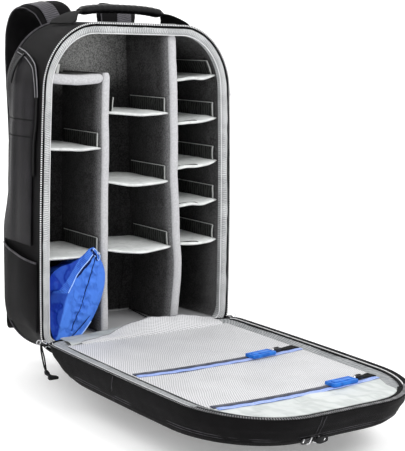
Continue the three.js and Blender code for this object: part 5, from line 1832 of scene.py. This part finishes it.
@dataclass
class Panel:
    """The front panel, laid flat: cloth tray, padded band, piping and zip."""

    columns: int = 420
    crease: float = 0.7
    corner_share: float = 0.11
    right_end: float = -540.0
    left_end: float = -470.0
    seam_levels: tuple = (11.0, 14.5)
    seam_spots: tuple = ((-172.0, -294.0), (-45.0, -582.0), (-39.0, -582.0))

    band_section = (
        (3.2, 28.0),
        (2.9, 36.0),
        (3.0, 40.2),
        (4.6, 41.3),
        (8.0, 41.6),
        (13.0, 40.4),
        (18.0, 39.0),
        (24.0, 37.9),
        (27.5, 36.6),
        (28.8, 33.5),
        (28.6, 30.0),
    )

    def build(self) -> None:
        """Makes and dresses all its pieces."""
        self.shell()
        self.tray()
        self.edging()
        self.hinge()

    def shell(self) -> None:
        """The cloth tray."""
        highs = 42 * eased(np.linspace(0, 1, 26), (0, 0.4, 1), (0, 0.22, 1))
        outer = [BAG.panel_ring(z, 0, self.columns) for z in highs]
        base = closing(outer[0], 14)[::-1]
        grid = np.array(outer)
        soft = Ripple(301, 80)(grid) * 0.5 + Ripple(302, 30)(grid * (1, 1, 2)) * 0.45
        calm = np.sin(np.pi * np.clip(grid[..., 2] / 42, 0, 1)) ** 0.7
        seams = bump_at(grid[..., 2], 29, 1.0) + bump_at(grid[..., 2], 9, 1.0)
        grid = ruffled(grid, -((soft - 0.8) * self.crease * calm - seams * 0.9 * calm), ring=True)
        inner = [BAG.panel_ring(z, 2.6, self.columns) for z in (42, 36, 30, 24)]
        inner += closing(inner[-1], 4)
        rows = np.concatenate([np.array(base), grid, np.array(inner)])
        shell = skin("panel_cloth", rows, ring=True, caps=True)
        dress(shell, Look.SHELL, "panel_shell")

    def tray(self) -> None:
        """The padded lining: a raised band round a sunken floor."""
        steps = np.linspace(0, 1, 30)
        section = eased(steps, np.linspace(0, 1, len(self.band_section)), self.band_section)
        rings = [BAG.panel_ring(z, inset, self.columns) for inset, z in section]
        grid = np.array(rings)
        soft = Ripple(311, 55)(grid) * 0.5 + Ripple(312, 17)(grid) * 0.28
        show = np.sin(np.pi * np.clip(steps, 0, 1))[:, None]
        grid[..., 2] += soft * show * 0.9
        low = [BAG.panel_ring(z, inset, self.columns) for inset, z in ((3.4, 24.4), (3.2, 26))]
        base = closing(low[0], 6)[::-1]
        floor = closing(grid[-1], 20)
        rows = np.concatenate([np.array(base), np.array(low), grid, np.array(floor)])
        tray = skin("panel_padding", rows, ring=True, caps=True)
        dress(tray, Look.BAND, "panel_liner")

    def edging(self) -> None:
        """Piping and the panel's half of the zip, from one hinge corner round to the other."""
        white = self.round_far(BAG.panel_ring(42.6, 4.6, 1200))
        left, right, _ = self.stretches(white)
        dress(tube("panel_white_piping", white[right][::2], 0.9, 8), Look.PIPING, "panel_piping")
        dress(tube("panel_left_line", white[left][::2] - (0.2, 0, -0.5), 0.6, 6), Look.EDGE)
        run = self.round_far(BAG.panel_ring(42.9, 0.3, 1400))
        outward = self.round_far(BAG.panel_ring(42.9, -6, 1400)) - run
        outward[:, 2] = 0
        tape = sweep("panel_zip_tape", run[::4], flat_section() * (5.6, 1.8), outward[::4])
        dress(tape, Look.ZIP, "panel_zip")
        edge = self.round_far(BAG.panel_ring(43.6, -2.0, 1400))
        left, right, far = self.stretches(edge)
        # The panel zip's teeth are black all round: they keep their black on the right, while round the far end and on
        # the left they are painted grey and near white as painted glints where light falls on them.
        teeth("panel_zip_teeth", edge[right], outward[right], (0, 0, 1), 3.2, (1.5, 3.4, 1.5), Look.RUBBER)
        inward = outward / np.linalg.norm(outward, axis=1)[:, None] * 4.2
        teeth("panel_zip_far_teeth", (edge - inward)[far], outward[far], (0, 0, 1), 3.4, (1.5, 6.5, 1.6), Look.COIL)
        beside, small = edge[left] + (1.2, 0, 0), (1.2, 1.1, 0.9)
        teeth("panel_zip_side_teeth", beside, outward[left], (0, 0, 1), 3.2, small, Look.TOOTH_PAINTED_GLINT)
        inner = self.round_far(BAG.panel_ring(42.0, 8.2, 700))
        across = self.round_far(BAG.panel_ring(42.0, 3, 700)) - inner
        left, right, far = self.stretches(inner)
        tapes = [sweep("right", inner[right][::2], flat_section() * (4.6, 1.4), across[right][::2])]
        tapes.append(sweep("far", inner[far][::2], flat_section() * (10.5, 1.3), across[far][::2]))
        tapes.append(sweep("left", inner[left][::2] - (4.4, 0, 0), flat_section() * (4.6, 1.4), across[left][::2]))
        dress(joined("panel_inner_tape", tapes), Look.ZIP)
        self.seams()

    def stretches(self, ring: np.ndarray) -> tuple[np.ndarray, np.ndarray, np.ndarray]:
        """Which points of a ring are on the panel's left, on its right and round its far end.

        Args:
            ring: points round the panel.

        Returns:
            Three masks, one for each stretch.
        """
        left = (ring[:, 0] < 0) & (ring[:, 1] > self.left_end)
        right = (ring[:, 0] > 0) & (ring[:, 1] > self.right_end)
        return left, right, ~left & ~right

    def seams(self) -> None:
        """The sewn lines round the cloth tray and up its walls."""
        lines = [tube(f"round_{z}", BAG.panel_ring(z, -0.35, 360), 0.5, 6, closed=True) for z in self.seam_levels]
        highs = np.linspace(3, 41, 30)
        rings = np.array([BAG.panel_ring(z, -0.35, 1400) for z in highs])
        for x, y in self.seam_spots:
            axis = 0 if y < self.right_end else 1
            gap = np.abs(rings[..., axis] - (x, y)[axis]) + 1e3 * (rings[..., 1 - axis] > (y, x)[axis] + 60)
            lines.append(tube("up", rings[np.arange(30), gap.argmin(1)], 0.55, 6))
        dress(joined("panel_seams", lines), Look.SEAM)

    def round_far(self, ring: np.ndarray) -> np.ndarray:
        """The part of a ring away from the hinge."""
        start = round(len(ring) * self.corner_share)
        return ring[start : len(ring) - start]

    def hinge(self) -> None:
        """The cloth hinge and the satin gusset over it."""
        t = np.linspace(-1, 1, 60)
        x = t * 145
        path = np.stack([x, np.full(60, -79.0), 26 + 0.8 * Ripple(321, 60)(np.stack([x, t * 0, t * 0], 1))], 1)
        band = sweep("hinge_cloth", path, flat_section() * (9.6, 2.2), (0, 1, 0))
        dress(band, Look.SHELL, "hinge_band")
        waves = (
            (-1, 0), (-0.78, 0.04), (-0.56, 0.1), (-0.36, 0.26), (-0.14, 0.72),
            (0.12, 1), (0.34, 0.92), (0.58, 0.78), (0.8, 0.42), (1, 0),
        )
        ahead_at = ((-0.1, 0), (0.02, 0.45), (0.2, 0.9), (0.42, 1), (0.7, 0.62), (1, 0))
        table = [list(column) for column in (zip(*waves))] + [list(column) for column in zip(*ahead_at)]
        across = np.linspace(-1, 1, 120)[None]
        border = eased(across[0] * 140, (-140, -85, -31, 25, 140), (1, 0.82, 0.42, 0.3, 0.26))[None]
        down = np.linspace(0, 1, 26)[:, None]
        satin = self.gusset_grid(across, -0.1 + (border + 0.1) * down, table)
        net = self.gusset_grid(across, border + (1 - border) * down, table)[:, 8:] + (0, 0, 0.7)
        self.cover("hinge_satin", satin, Look.HUMP)
        self.cover("hinge_net", net, Look.NET)
        line = net[0] + (0, 0.6, 1.4)
        dress(tube("hinge_seam", line, 0.45, 6), Look.EDGING)

    def gusset_grid(self, across: np.ndarray, ahead: np.ndarray, table: list) -> np.ndarray:
        """Points of the gusset over the hinge, humped towards its right.

        Args:
            across: places from its left end, -1, to its right end, 1.
            ahead: how far forward each place is, as a share of the gusset's reach.
            table: places and heights across, then places and heights ahead.

        Returns:
            The grid.
        """
        hump = np.interp(across, table[0], table[1])
        rise = np.interp(ahead, table[2], table[3])
        over = np.sin(np.pi * np.clip((ahead + 0.1) / 1.1, 0, 1)) ** 0.25
        rest = np.where(ahead < 0.5, 38.8, 37.4) * (1 - over) + 42.9 * over
        x, y = across * 140 + 0 * ahead, -75 - ahead * 40 + 0 * across
        place = np.stack([x, y, x * 0], -1)
        wave = Ripple(322, 40)(place) * 0.8 + Ripple(323, 17)(place) * 0.3
        return np.stack([x, y, rest + 15 * hump * rise + wave * over], -1)

    def cover(self, name: str, grid: np.ndarray, look: Look) -> None:
        """Dresses a part of the gusset."""
        piece = slab(name, grid + (0, 0, 1.2), grid)
        area = sheet_area(grid) * MM * MM
        dress(piece, look, "hinge_gusset")


def sheet_area(grid: np.ndarray) -> float:
    """Area of a grid of points."""
    a = grid[1:, 1:] - grid[:-1, :-1]
    b = grid[1:, :-1] - grid[:-1, 1:]
    return float(np.linalg.norm(np.cross(a, b), axis=-1).sum() / 2)


@dataclass(frozen=True)
class ZipLine:
    """A pocket zip across the panel: where it lies and where its slider rests."""

    number: int
    distance: float
    share: float
    turn: float
    bow: float = 9.0

    def down(self, share: np.ndarray) -> np.ndarray:
        """Distance from the hinge at a share of the way across."""
        curve = self.bow * (1 - np.abs(2 * share - 1) ** 2.4)
        return self.distance + curve - self.bow / 2 * share


ZIPS = (ZipLine(1, 226, 0.845, 0.12), ZipLine(2, 402, 0.882, 0.06))


@dataclass
class PanelPockets:
    """Two net pockets with zips, trims and rubber pulls, and the satin end panel."""

    level: float = 38.1
    thick: float = 1.2

    def edge(self, side: int, down: np.ndarray) -> np.ndarray:
        """X of the pockets' side edge at a distance from the hinge."""
        return BAG.side_x(BAG.panel(1, 26.8), BAG.rim_lift + down, side)

    def spot(self, down: np.ndarray, share: np.ndarray, z: np.ndarray) -> np.ndarray:
        """A point over the panel."""
        left, right = self.edge(-1, down), self.edge(1, down)
        x = left + (right - left) * share
        x, y, z = np.broadcast_arrays(x, -BAG.hinge - down, z)
        return np.stack([x, y, z], -1)

    def build(self) -> None:
        """Makes and dresses all its pieces."""
        first, second = ZIPS
        self.pocket("mesh_pocket_1", lambda s: 28.4 + 0 * s, lambda s: first.down(s) - 8, 331)
        self.pocket("mesh_pocket_2", lambda s: first.down(s) - 7, lambda s: second.down(s) - 8, 341)
        self.end(lambda s: second.down(s) - 7, lambda s: 486.5 + 0 * s)
        for line in ZIPS:
            self.strip(line)
            self.slider(line)

    def pocket(self, node: str, near: Callable, far: Callable, seed: int) -> None:
        """A net pocket, slack in its middle."""
        grid = self.sheet_grid(near, far, 56, 96)
        calm = self.calm(grid)
        soft = Ripple(seed, 95)(grid) * 1.6 + Ripple(seed + 1, 42)(grid * (1, 0.5, 1)) * 0.7
        grid[..., 2] += np.clip(soft - 0.6, -4, 1.6) * calm**0.6
        net = slab(f"{node}_net", grid + (0, 0, self.thick), grid)
        self.cloth(net, grid, Look.NET, node)

    def end(self, near: Callable, far: Callable) -> None:
        """The satin end panel, with soft creases along it."""
        down, share = np.linspace(0, 1, 36)[:, None], np.linspace(0, 1, 110)[None]
        distance = near(share) + (far(share) - near(share)) * down
        over = fade(distance, 425, 474)
        form, high = BAG.panel(1, 12.5), BAG.rim_lift + distance
        left, right = (
            BAG.side_x(form, high, side) * over + self.edge(side, distance) * (1 - over)
            for side in (-1, 1)
        )
        x = left + (right - left) * share
        grid = np.stack([x, -BAG.hinge - distance, self.level + 4.2 * over], -1)
        place = grid * (0.35, 1, 1)
        soft = Ripple(351, 22)(place) * 0.9 + Ripple(352, 60)(grid) * 0.5
        calm = self.calm(grid)
        grid[..., 2] += soft * calm**0.5
        panel = slab("end_panel_satin", grid + (0, 0, self.thick), grid)
        self.cloth(panel, grid, Look.SATIN, "end_panel")

    def calm(self, grid: np.ndarray) -> np.ndarray:
        """How far from a grid's borders its points are: 0 at them and 1 in the middle."""
        down, along = (np.sin(np.pi * np.linspace(0, 1, count)) for count in grid.shape[:2])
        return down[:, None] * along[None]

    def sheet_grid(self, near: Callable, far: Callable, rows: int, columns: int) -> np.ndarray:
        """Points of a sheet between two lines across the panel."""
        down, share = np.linspace(0, 1, rows)[:, None], np.linspace(0, 1, columns)[None]
        distance = near(share) + (far(share) - near(share)) * down
        return self.spot(distance, share, self.level + 0 * distance)

    def cloth(self, piece: bpy.types.Object, grid: np.ndarray, look: Look, node: str) -> None:
        """Dresses a sheet."""
        dress(piece, look, node)
        area = sheet_area(grid) * MM * MM

    def strip(self, line: ZipLine) -> None:
        """The zip's dark tape with its coil, and the light trim beside it."""
        share = np.linspace(0.004, 0.996, 110)
        down = line.down(share) - 8
        tape = self.spot(down, share, self.level + 2.2 + 0 * share)
        piece = sweep(f"pocket_tape_{line.number}", tape, flat_section() * (9.6, 1.4), (0, 1, 0))
        dress(piece, Look.TAPE, f"pocket_zip_{line.number}")
        coil = tape + (0, 0, 0.9)
        up = np.broadcast_to((0.0, 1.0, 0.0), coil.shape)
        teeth(f"pocket_coil_{line.number}", coil, up, (0, 0, 1), 1.6, (0.8, 2.6, 1.0), Look.COIL)
        down = down + 9.3
        trim = self.spot(down, share, self.level + 2.0 + 0.25 * np.sin(share * 60))
        end = np.linspace(line.share + 0.02, 0.985, 24)
        black = self.spot(line.down(end) - 10, end, self.level + 3.4 + 0 * end)
        flare = np.stack([np.linspace(9, 17, 24), np.full(24, 1.4)], 1)
        dress(sweep(f"pocket_tape_end_{line.number}", black, flat_section(), (0, 1, 0), flare), Look.ZIP)
        piece = sweep(f"pocket_trim_cloth_{line.number}", trim, flat_section() * (8.6, 1.2), (0, 1, 0))
        dress(piece, Look.TRIM, f"pocket_trim_{line.number}")

    def slider(self, line: ZipLine) -> None:
        """The metal slider and its rubber pull."""
        share = np.array(line.share)
        place = self.spot(line.down(share) - 8, share, np.array(44.2))
        turn = Matrix.Rotation(line.turn, 3, "Z")
        body = zip_slider(f"pocket_slider_body_{line.number}", (12, 8, 4.6))
        dress(moved(body, place, turn), Look.METAL, f"pocket_slider_{line.number}", smooth=35)
        away = 36.0
        at = place + (-away * math.cos(line.turn), -away * math.sin(line.turn) - 4, -0.4)
        pull = rubber_pull(f"pocket_pull_rubber_{line.number}", (45, 19, 5.4))
        dress(moved(pull, at, turn), Look.PULL, f"pocket_pull_{line.number}", smooth=35)
        start = place + (-7 * math.cos(line.turn), -7 * math.sin(line.turn), 1.4)
        end = place + (-14 * math.cos(line.turn), -14 * math.sin(line.turn) - 2.5, 0.4)
        ring = tube("ring", smooth_path((start, (start + end) / 2 + (0, 3, 1), end), 20), 1.1, 7)
        other = tube("ring_b", smooth_path((start, (start + end) / 2 + (0, -3, 1), end), 20), 1.1, 7)
        dress(joined(f"pocket_pull_ring_{line.number}", (ring, other)), Look.NICKEL)


def zip_slider(name: str, size: Sequence[float]) -> bpy.types.Object:
    """A zip slider: a waisted body with a raised bridge, at the origin.

    Args:
        name: the piece's name.
        size: its length, width and thickness.

    Returns:
        The slider.
    """

    def shape() -> None:
        """Insets the top and raises the bridge from it, drawn in towards its top."""
        pick_faces((0, 0, 1))
        bpy.ops.mesh.inset(thickness=2.0 * MM)
        bpy.ops.mesh.extrude_region_move(TRANSFORM_OT_translate={"value": (0, 0, 1.5 * MM)})
        bpy.ops.transform.resize(value=(0.7, 0.6, 1), center_override=(0, 0, 0))

    body = eased_block(name, size, 0.7, shape)
    return body


def rubber_pull(name: str, size: Sequence[float]) -> bpy.types.Object:
    """A flat rubber pull with a sunken face, a grip ridge and a narrow neck, at the origin.

    Args:
        name: the piece's name.
        size: its length, width and thickness.

    Returns:
        The pull.
    """
    long, wide, thick = size

    def shape() -> None:
        """Draws out the neck at its right end and sinks the upper face."""
        pick_faces((1, 0, 0))
        bpy.ops.mesh.extrude_region_move(TRANSFORM_OT_translate={"value": (4 * MM, 0, 0)})
        bpy.ops.transform.resize(value=(1, 0.45, 0.7), center_override=(long / 2 * MM, 0, 0))
        pick_faces((0, 0, 1))
        bpy.ops.mesh.inset(thickness=2.6 * MM)
        bpy.ops.mesh.extrude_region_move(TRANSFORM_OT_translate={"value": (0, 0, -1.0 * MM)})
        bpy.ops.mesh.inset(thickness=3.2 * MM)
        bpy.ops.mesh.extrude_region_move(TRANSFORM_OT_translate={"value": (0, 0, 1.4 * MM)})

    return eased_block(name, (long, wide, thick - 0.4), 0.8, shape)


# Pulls at the corners


@dataclass
class CornerHardware:
    """Sliders where the two long zips meet, and the pulls that hang from them."""

    y: float = -85.5
    z: float = 39.6
    inset: float = 1.6

    def corner(self, side: int) -> np.ndarray:
        """The slider's middle on one side."""
        x = BAG.side_x(BAG.body(0, 0), np.array(52.0), side)
        return np.array([float(x) - side * self.inset, self.y, self.z])

    def build(self) -> None:
        """Makes and dresses all its pieces."""
        for side in Side:
            at = self.corner(side.value)
            body = zip_slider(f"corner_slider_body_{side.word}", (15, 9, 4.6))
            dress(
                moved(body, at, Matrix.Rotation(-math.pi / 2, 3, "Z")),
                Look.METAL,
                f"corner_slider_{side.word}",
                smooth=35,
            )
            # Painted glint: the ring round the top of the slider stands for light catching its edges; the loop beside
            # it is a real metal ring.
            ring = smooth_path((at + (0, 6, 3), at + (3, 0, 4), at + (0, -8, 2), at + (-3, 0, 4), at + (0, 6, 3)), 40)
            turn = np.linspace(0, TURN, 25)
            loop = at + np.stack([side.value * (8.5 + 3.4 * np.cos(turn)), 0 * turn, 3.2 + 3.4 * np.sin(turn)], 1)
            rings = (tube("ring", ring, 0.75, 7), tube("loop", loop[:-1], 0.8, 7, closed=True))
            dress(joined(f"corner_ring_{side.word}", rings), Look.NICKEL)
        self.left_pull()
        self.front_pull()
        self.side_pull()

    def left_pull(self) -> None:
        """The cord and its tapering knot at the left corner."""
        start = self.corner(-1)
        x = start[0] - 6.25
        shares = (
            (0.0, 0.05, -0.03), (0.045, 0.15, 0.15), (0.08, 0.33, 0.43),
            (0.12, 0.56, 0.71), (0.162, 0.783, 0.859),
        )
        path = smooth_path(self.hang(x, start, shares), 60)
        cord = dress(tube("corner_pull_cord", path, 1.2, 8), Look.WEBBING, "corner_cord_left")
        apart = 1.0 + 2.6 * np.sin(np.linspace(0.1, np.pi, 58))
        strand = path[2:] + np.stack([apart, apart * 0.2, apart * 0], 1)
        twin = dress(tube("corner_pull_strand", strand, 1.1, 8), Look.WEBBING)
        shares = (
            (0.16, 0.79, 0.83, 0.4), (0.165, 0.84, 0.86, 0.52), (0.175, 0.9, 0.885, 0.34),
            (0.19, 1.02, 0.905, 0.5), (0.2, 1.36, 0.925, 1.0), (0.205, 1.5, 0.93, 1.05),
        )
        route = smooth_path(self.hang(x, start, shares), 30)
        wide = eased(np.linspace(0, 1, 30), np.linspace(0, 1, 6), [s[3] for s in shares])
        size = np.stack([wide * 15, wide * 2.2 + 2.2], 1)
        tab = sweep("corner_pull_tab", route, flat_section(), (1, 0, 0), size)
        dress(tab, Look.RUBBER, "corner_tab_left")

    def hang(self, x: float, start: Sequence[float], shares: Sequence[tuple]) -> list:
        """Places of a hanging route.

        Args:
            x: where the route starts across the bag.
            start: the corner that it hangs from.
            shares: how far out, forward and down each place is, as shares of the corner's height.

        Returns:
            The places.
        """
        return [(x - o * self.z, start[1] - a * self.z, start[2] - d * self.z) for o, a, d, *_ in shares]

    def front_pull(self) -> None:
        """The outer pocket's slider and its knotted pull on the panel's far wall."""
        wall = -BAG.hinge + BAG.rim_lift - BAG.panel(0.2, 0).top
        body = zip_slider("front_slider_body", (15, 7.2, 4.4))
        turn = Matrix.Rotation(math.pi / 2, 3, "X")
        dress(moved(body, (-58, wall - 3.4, 8), turn), Look.METAL, "front_slider", smooth=35)
        path = smooth_path(((-51, wall - 5, 8), (-42, wall - 6.5, 7), (-30, wall - 5, 6.4), (-24, wall - 5, 7)), 30)
        wide = eased(np.linspace(0, 1, 30), (0, 0.2, 0.3, 0.9, 1), (0.35, 0.4, 0.9, 1, 0.6))
        tab = sweep("front_pull_tab", path, flat_section(), (0, 0, 1), np.stack([wide * 8.5, wide * 3.6], 1))
        dress(tab, Look.RUBBER, "front_tab")
        # Painted glints: the knot is black braided cord, and this bright nickel spiral round it stands for the glints
        # on it.
        turn = np.linspace(0, 3 * TURN, 90)
        spiral = (-66 + turn * 1.9, wall - 5.5 - 1.6 * np.cos(turn), 8 + 3.4 * np.sin(turn))
        dress(tube("front_pull_knot_glints", np.stack(spiral, 1), 0.9, 6), Look.NICKEL)

    def side_pull(self) -> None:
        """The rubber pull that hangs from the left side zip."""
        pocket = SidePocket(Side.LEFT)
        drops = ((0, 0.2, 0.6), (0.08, 0.45, 0.75), (0.2, 0.85, 0.9), (0.5, 1.4, 1), (0.8, 1.62, 1), (1, 1.7, 0.7))
        top = 0.898 * BAG.tall + 4.2
        y = BAG.front + 0.55 * BAG.deep - 7
        points = [pocket.wall(np.array(y), np.array(top - d * 44), np.array(3 + o * 6)) for d, o, _ in drops]
        path = smooth_path(points, 40)
        wide = eased(np.linspace(0, 1, 40), [d[0] for d in drops], [d[2] for d in drops])
        pull = sweep("side_pull_rubber", path, flat_section(), (0, 1, 0), np.stack([wide * 8, wide * 3.2], 1))
        dress(pull, Look.RUBBER, "side_pull_left")


# Handle, straps and webbing


@dataclass
class Handle:
    """The padded grip and its two feet."""

    y: float = -15.0
    top: float = 544.0

    def build(self) -> None:
        """Makes and dresses all its pieces."""
        t = np.linspace(-1, 1, 90)
        path = np.stack([t * 75, np.full(90, self.y), self.top - 6 * np.abs(t) ** 3], 1)
        near = 1 - np.abs(t)
        size = 0.6 + 0.4 * fade(near, 0, 0.12)
        wrinkle = 0.02 * np.sin(t * 46) * fade(near, 0.05, 0.3)
        sizes = np.stack([28 * (size + wrinkle), 14 * (size + wrinkle * 1.5)], 1)
        grip = sweep("grip_padding", path, flat_section(0.1, 9, 2.8), (0, 1, 0), sizes)
        dress(grip, Look.GRIP, "handle_grip")
        for side in Side:
            self.foot(side)

    def foot(self, side: Side) -> None:
        """The webbing foot that flares onto the crown."""
        runs, wides = (0, 0.3, 0.62, 0.88, 1), (22.4, 35, 60, 80, 74)
        rises = (1, 0.86, 0.5, 0.14, 0)
        t = np.linspace(0, 1, 40)
        x = 75.3 + (106 - 75.3) * t
        form = BAG.body(0, 0)
        past = np.clip((x - (BAG.wide / 2 - form.across)) / form.across, 0, 1)
        crown = form.top - form.down * (1 - np.sqrt(1 - past**2))
        rest = crown + 2.0
        z = rest + (self.top - 6 - rest) * eased(t, runs, rises)
        path = np.stack([side.value * x, np.full(40, self.y), z], 1)
        size = np.stack([eased(t, runs, wides), np.full(40, 3.0)], 1)
        foot = sweep(f"grip_foot_{side.word}", path, flat_section(), (0, 1, 0), size)
        dress(foot, Look.WEBBING, f"handle_foot_{side.word}")


@dataclass
class Strap:
    """A padded shoulder strap, its sewn webbing and the slack webbing below."""

    side: Side
    wide: float = 64.0
    thick: float = 14.0
    route = (
        (0.3, 0, 0.88, 0.85, 0.55, 0), (0.31, 0, 0.94, 0.9, 0.6, 0), (0.33, 0.1, 0.998, 0.95, 0.75, 0.05),
        (0.37, 0.3, 1.04, 1, 0.95, 0.14), (0.43, 0.62, 1.05, 1, 1, 0.2), (0.48, 0.88, 1.032, 1, 1, 0.2),
        (0.51, 1.02, 0.985, 1, 1, 0.12), (0.52, 1.04, 0.92, 1, 1, 0.05), (0.53, 0.94, 0.82, 1, 1, 0),
        (0.54, 0.78, 0.7, 1, 1, 0), (0.56, 0.62, 0.59, 0.98, 0.95, 0), (0.59, 0.52, 0.5, 0.85, 0.85, 0),
        (0.61, 0.48, 0.455, 0.55, 0.6, 0),
    )
    lower = (
        (0.615, 0.55, 0.447), (0.63, 0.68, 0.37), (0.665, 0.88, 0.25), (0.705, 0.98, 0.135),
        (0.725, 0.88, 0.062), (0.72, 0.55, 0.038), (0.69, 0.2, 0.06), (0.665, 0.016, 0.115),
        (0.66, 0.016, 0.155),
    )

    def spot(self, out: float, behind: float, high: float, lift: float = 0.0) -> tuple:
        """A point behind the bag."""
        draw = 0.045 * (behind > 0.6) * (high < 0.2)
        return (self.side.value * (out - draw) * BAG.wide / 2, 75.3 + behind * self.wide + lift, high * BAG.tall)

    def build(self) -> None:
        """Makes and dresses all its pieces."""
        word, sign = self.side.word, self.side.value
        points = [self.spot(o, b, h, t * self.thick / 2) for o, b, h, _, t, _ in self.route]
        run = run_along(np.array(points)) / run_along(np.array(points))[-1]
        path = smooth_path(points, 120)
        at = np.linspace(0, 1, 120)
        wide, thick, tilt = (eased(at, run, [row[i] for row in self.route]) for i in (3, 4, 5))
        side = np.stack([np.ones(120), np.zeros(120), -tilt * sign], 1)
        size = np.stack([wide * self.wide, thick * self.thick], 1)
        pad = sweep(f"strap_padding_{word}", path, flat_section(0.28, 10, 3.2), side, size)
        dress(pad, Look.SHELL, f"shoulder_strap_{word}")
        _, across, out = frames_along(path, side)
        outward = out * np.sign(out[60, 1])
        face = path + outward * (size[:, 1:] / 2 + 1.2)
        first, last = int(120 * run[1]) + 2, int(120 * run[10])
        outer = across * np.sign(across[60, 0]) * sign * 9.0
        middle = (face + outer - outward * 0.9)[first:last]
        strip = sweep(f"strap_ribbon_{word}", middle, flat_section() * (27, 1.8), side[first:last])
        dress(strip, Look.STRIP, f"strap_webbing_{word}")
        lines = []
        for edge in (-1, 1):
            offset = across * edge * size[:, :1] * 0.5
            lines.append(tube(f"edge_{edge}", (path + offset)[3:-3], 1.1, 6))
        dress(joined(f"strap_piping_{word}", lines), Look.SEAM)
        slack = smooth_path([self.spot(*row) for row in self.lower], 110)
        webbing = sweep(f"slack_webbing_{word}", slack, flat_section() * (25, 1.8), (1, 0, 0))
        dress(webbing, Look.WEBBING, f"lower_webbing_{word}")


# The scene


@dataclass(frozen=True)
class Studio:
    """Pale floor, soft light and the camera at the photo's angle."""

    place: tuple = (-0.9793, -1.6428, 0.4887)
    yaw: float = 35.136
    pitch: float = 8.607
    roll: float = 1.214
    lens: float = 94.46

    def build(self) -> None:
        """Sets the world, the floor, the lights and the camera."""
        self.world()
        self.floor()
        self.light("key", (0.9, -2.2, 2.3), 1.4, 42)
        self.light("fill", (-2.4, -1.6, 1.3), 2.2, 10)
        self.light("rim", (-1.2, 1.4, 2.2), 1.2, 16)
        self.camera()

    def world(self) -> None:
        """An even white surround."""
        world = bpy.data.worlds.new("studio")
        world.use_nodes = True
        world.node_tree.nodes["Background"].inputs[0].default_value = (1, 1, 1, 1)
        world.node_tree.nodes["Background"].inputs[1].default_value = 1.0
        bpy.context.scene.world = world
        bpy.context.scene.view_settings.view_transform = "Standard"

    def floor(self) -> None:
        """A white floor that rises behind the bag."""
        profile = np.array(((-4.0, 0), (1.6, 0), (2.2, 0.06), (2.7, 0.3), (3.0, 0.8), (3.0, 5.0))) / MM
        rows = smooth_path([(0, y, z) for y, z in profile], 60)
        grid = np.array([[(x / MM, y, z - 0.6) for x in np.linspace(-5, 5, 20)] for _, y, z in rows])
        sweep_piece = skin("studio_floor", grid)
        shader = Shader("studio white")
        shader.plug(shader.surface.inputs["Emission Color"], (1, 1, 1, 1))
        material = shader.finish((0.93, 0.93, 0.93), 0.7, Emission_Strength=0.22)
        sweep_piece.data.materials.append(material)

    def light(self, name: str, at: tuple, size: float, power: float) -> None:
        """A square soft light that looks at the bag."""
        lamp = bpy.data.lights.new(name, "AREA")
        lamp.size, lamp.energy = size, power
        piece = bpy.data.objects.new(name, lamp)
        piece.location = at
        piece.rotation_euler = (Vector((0, -0.1, 0.25)) - Vector(at)).to_track_quat("-Z", "Y").to_euler()
        bpy.context.scene.collection.objects.link(piece)

    def camera(self) -> None:
        """The camera, from the fitted angles."""
        yaw, pitch, roll = (math.radians(a) for a in (self.yaw, self.pitch, self.roll))
        ahead = Vector((math.sin(yaw) * math.cos(pitch), math.cos(yaw) * math.cos(pitch), -math.sin(pitch)))
        right = Vector((math.cos(yaw), -math.sin(yaw), 0))
        up = right.cross(ahead)
        tilted = (math.cos(roll) * right + math.sin(roll) * up, math.cos(roll) * up - math.sin(roll) * right)
        data = bpy.data.cameras.new("view")
        data.lens, data.sensor_width = self.lens, 36
        piece = bpy.data.objects.new("view", data)
        turn = Matrix((tilted[0], tilted[1], -ahead)).transposed()
        piece.matrix_world = Matrix.Translation(Vector(self.place)) @ turn.to_4x4()
        bpy.context.scene.collection.objects.link(piece)
        bpy.context.scene.camera = piece


def main() -> None:
    """Builds every sub-assembly, then the studio."""
    logging.basicConfig(level=logging.INFO, format="%(message)s")
    parts: list = [Shell(), *(SidePocket(side) for side in Side), Opening()]
    parts += [LEFT_DIVIDER, RIGHT_DIVIDER, TopShelf(), *SHELVES, Pouch()]
    parts += [Panel(), PanelPockets(), CornerHardware(), Handle(), *(Strap(side) for side in Side)]
    for part in parts:
        log.info("-- %s", type(part).__name__)
        part.build()
    Studio().build()


if __name__ == "__main__":
    main()
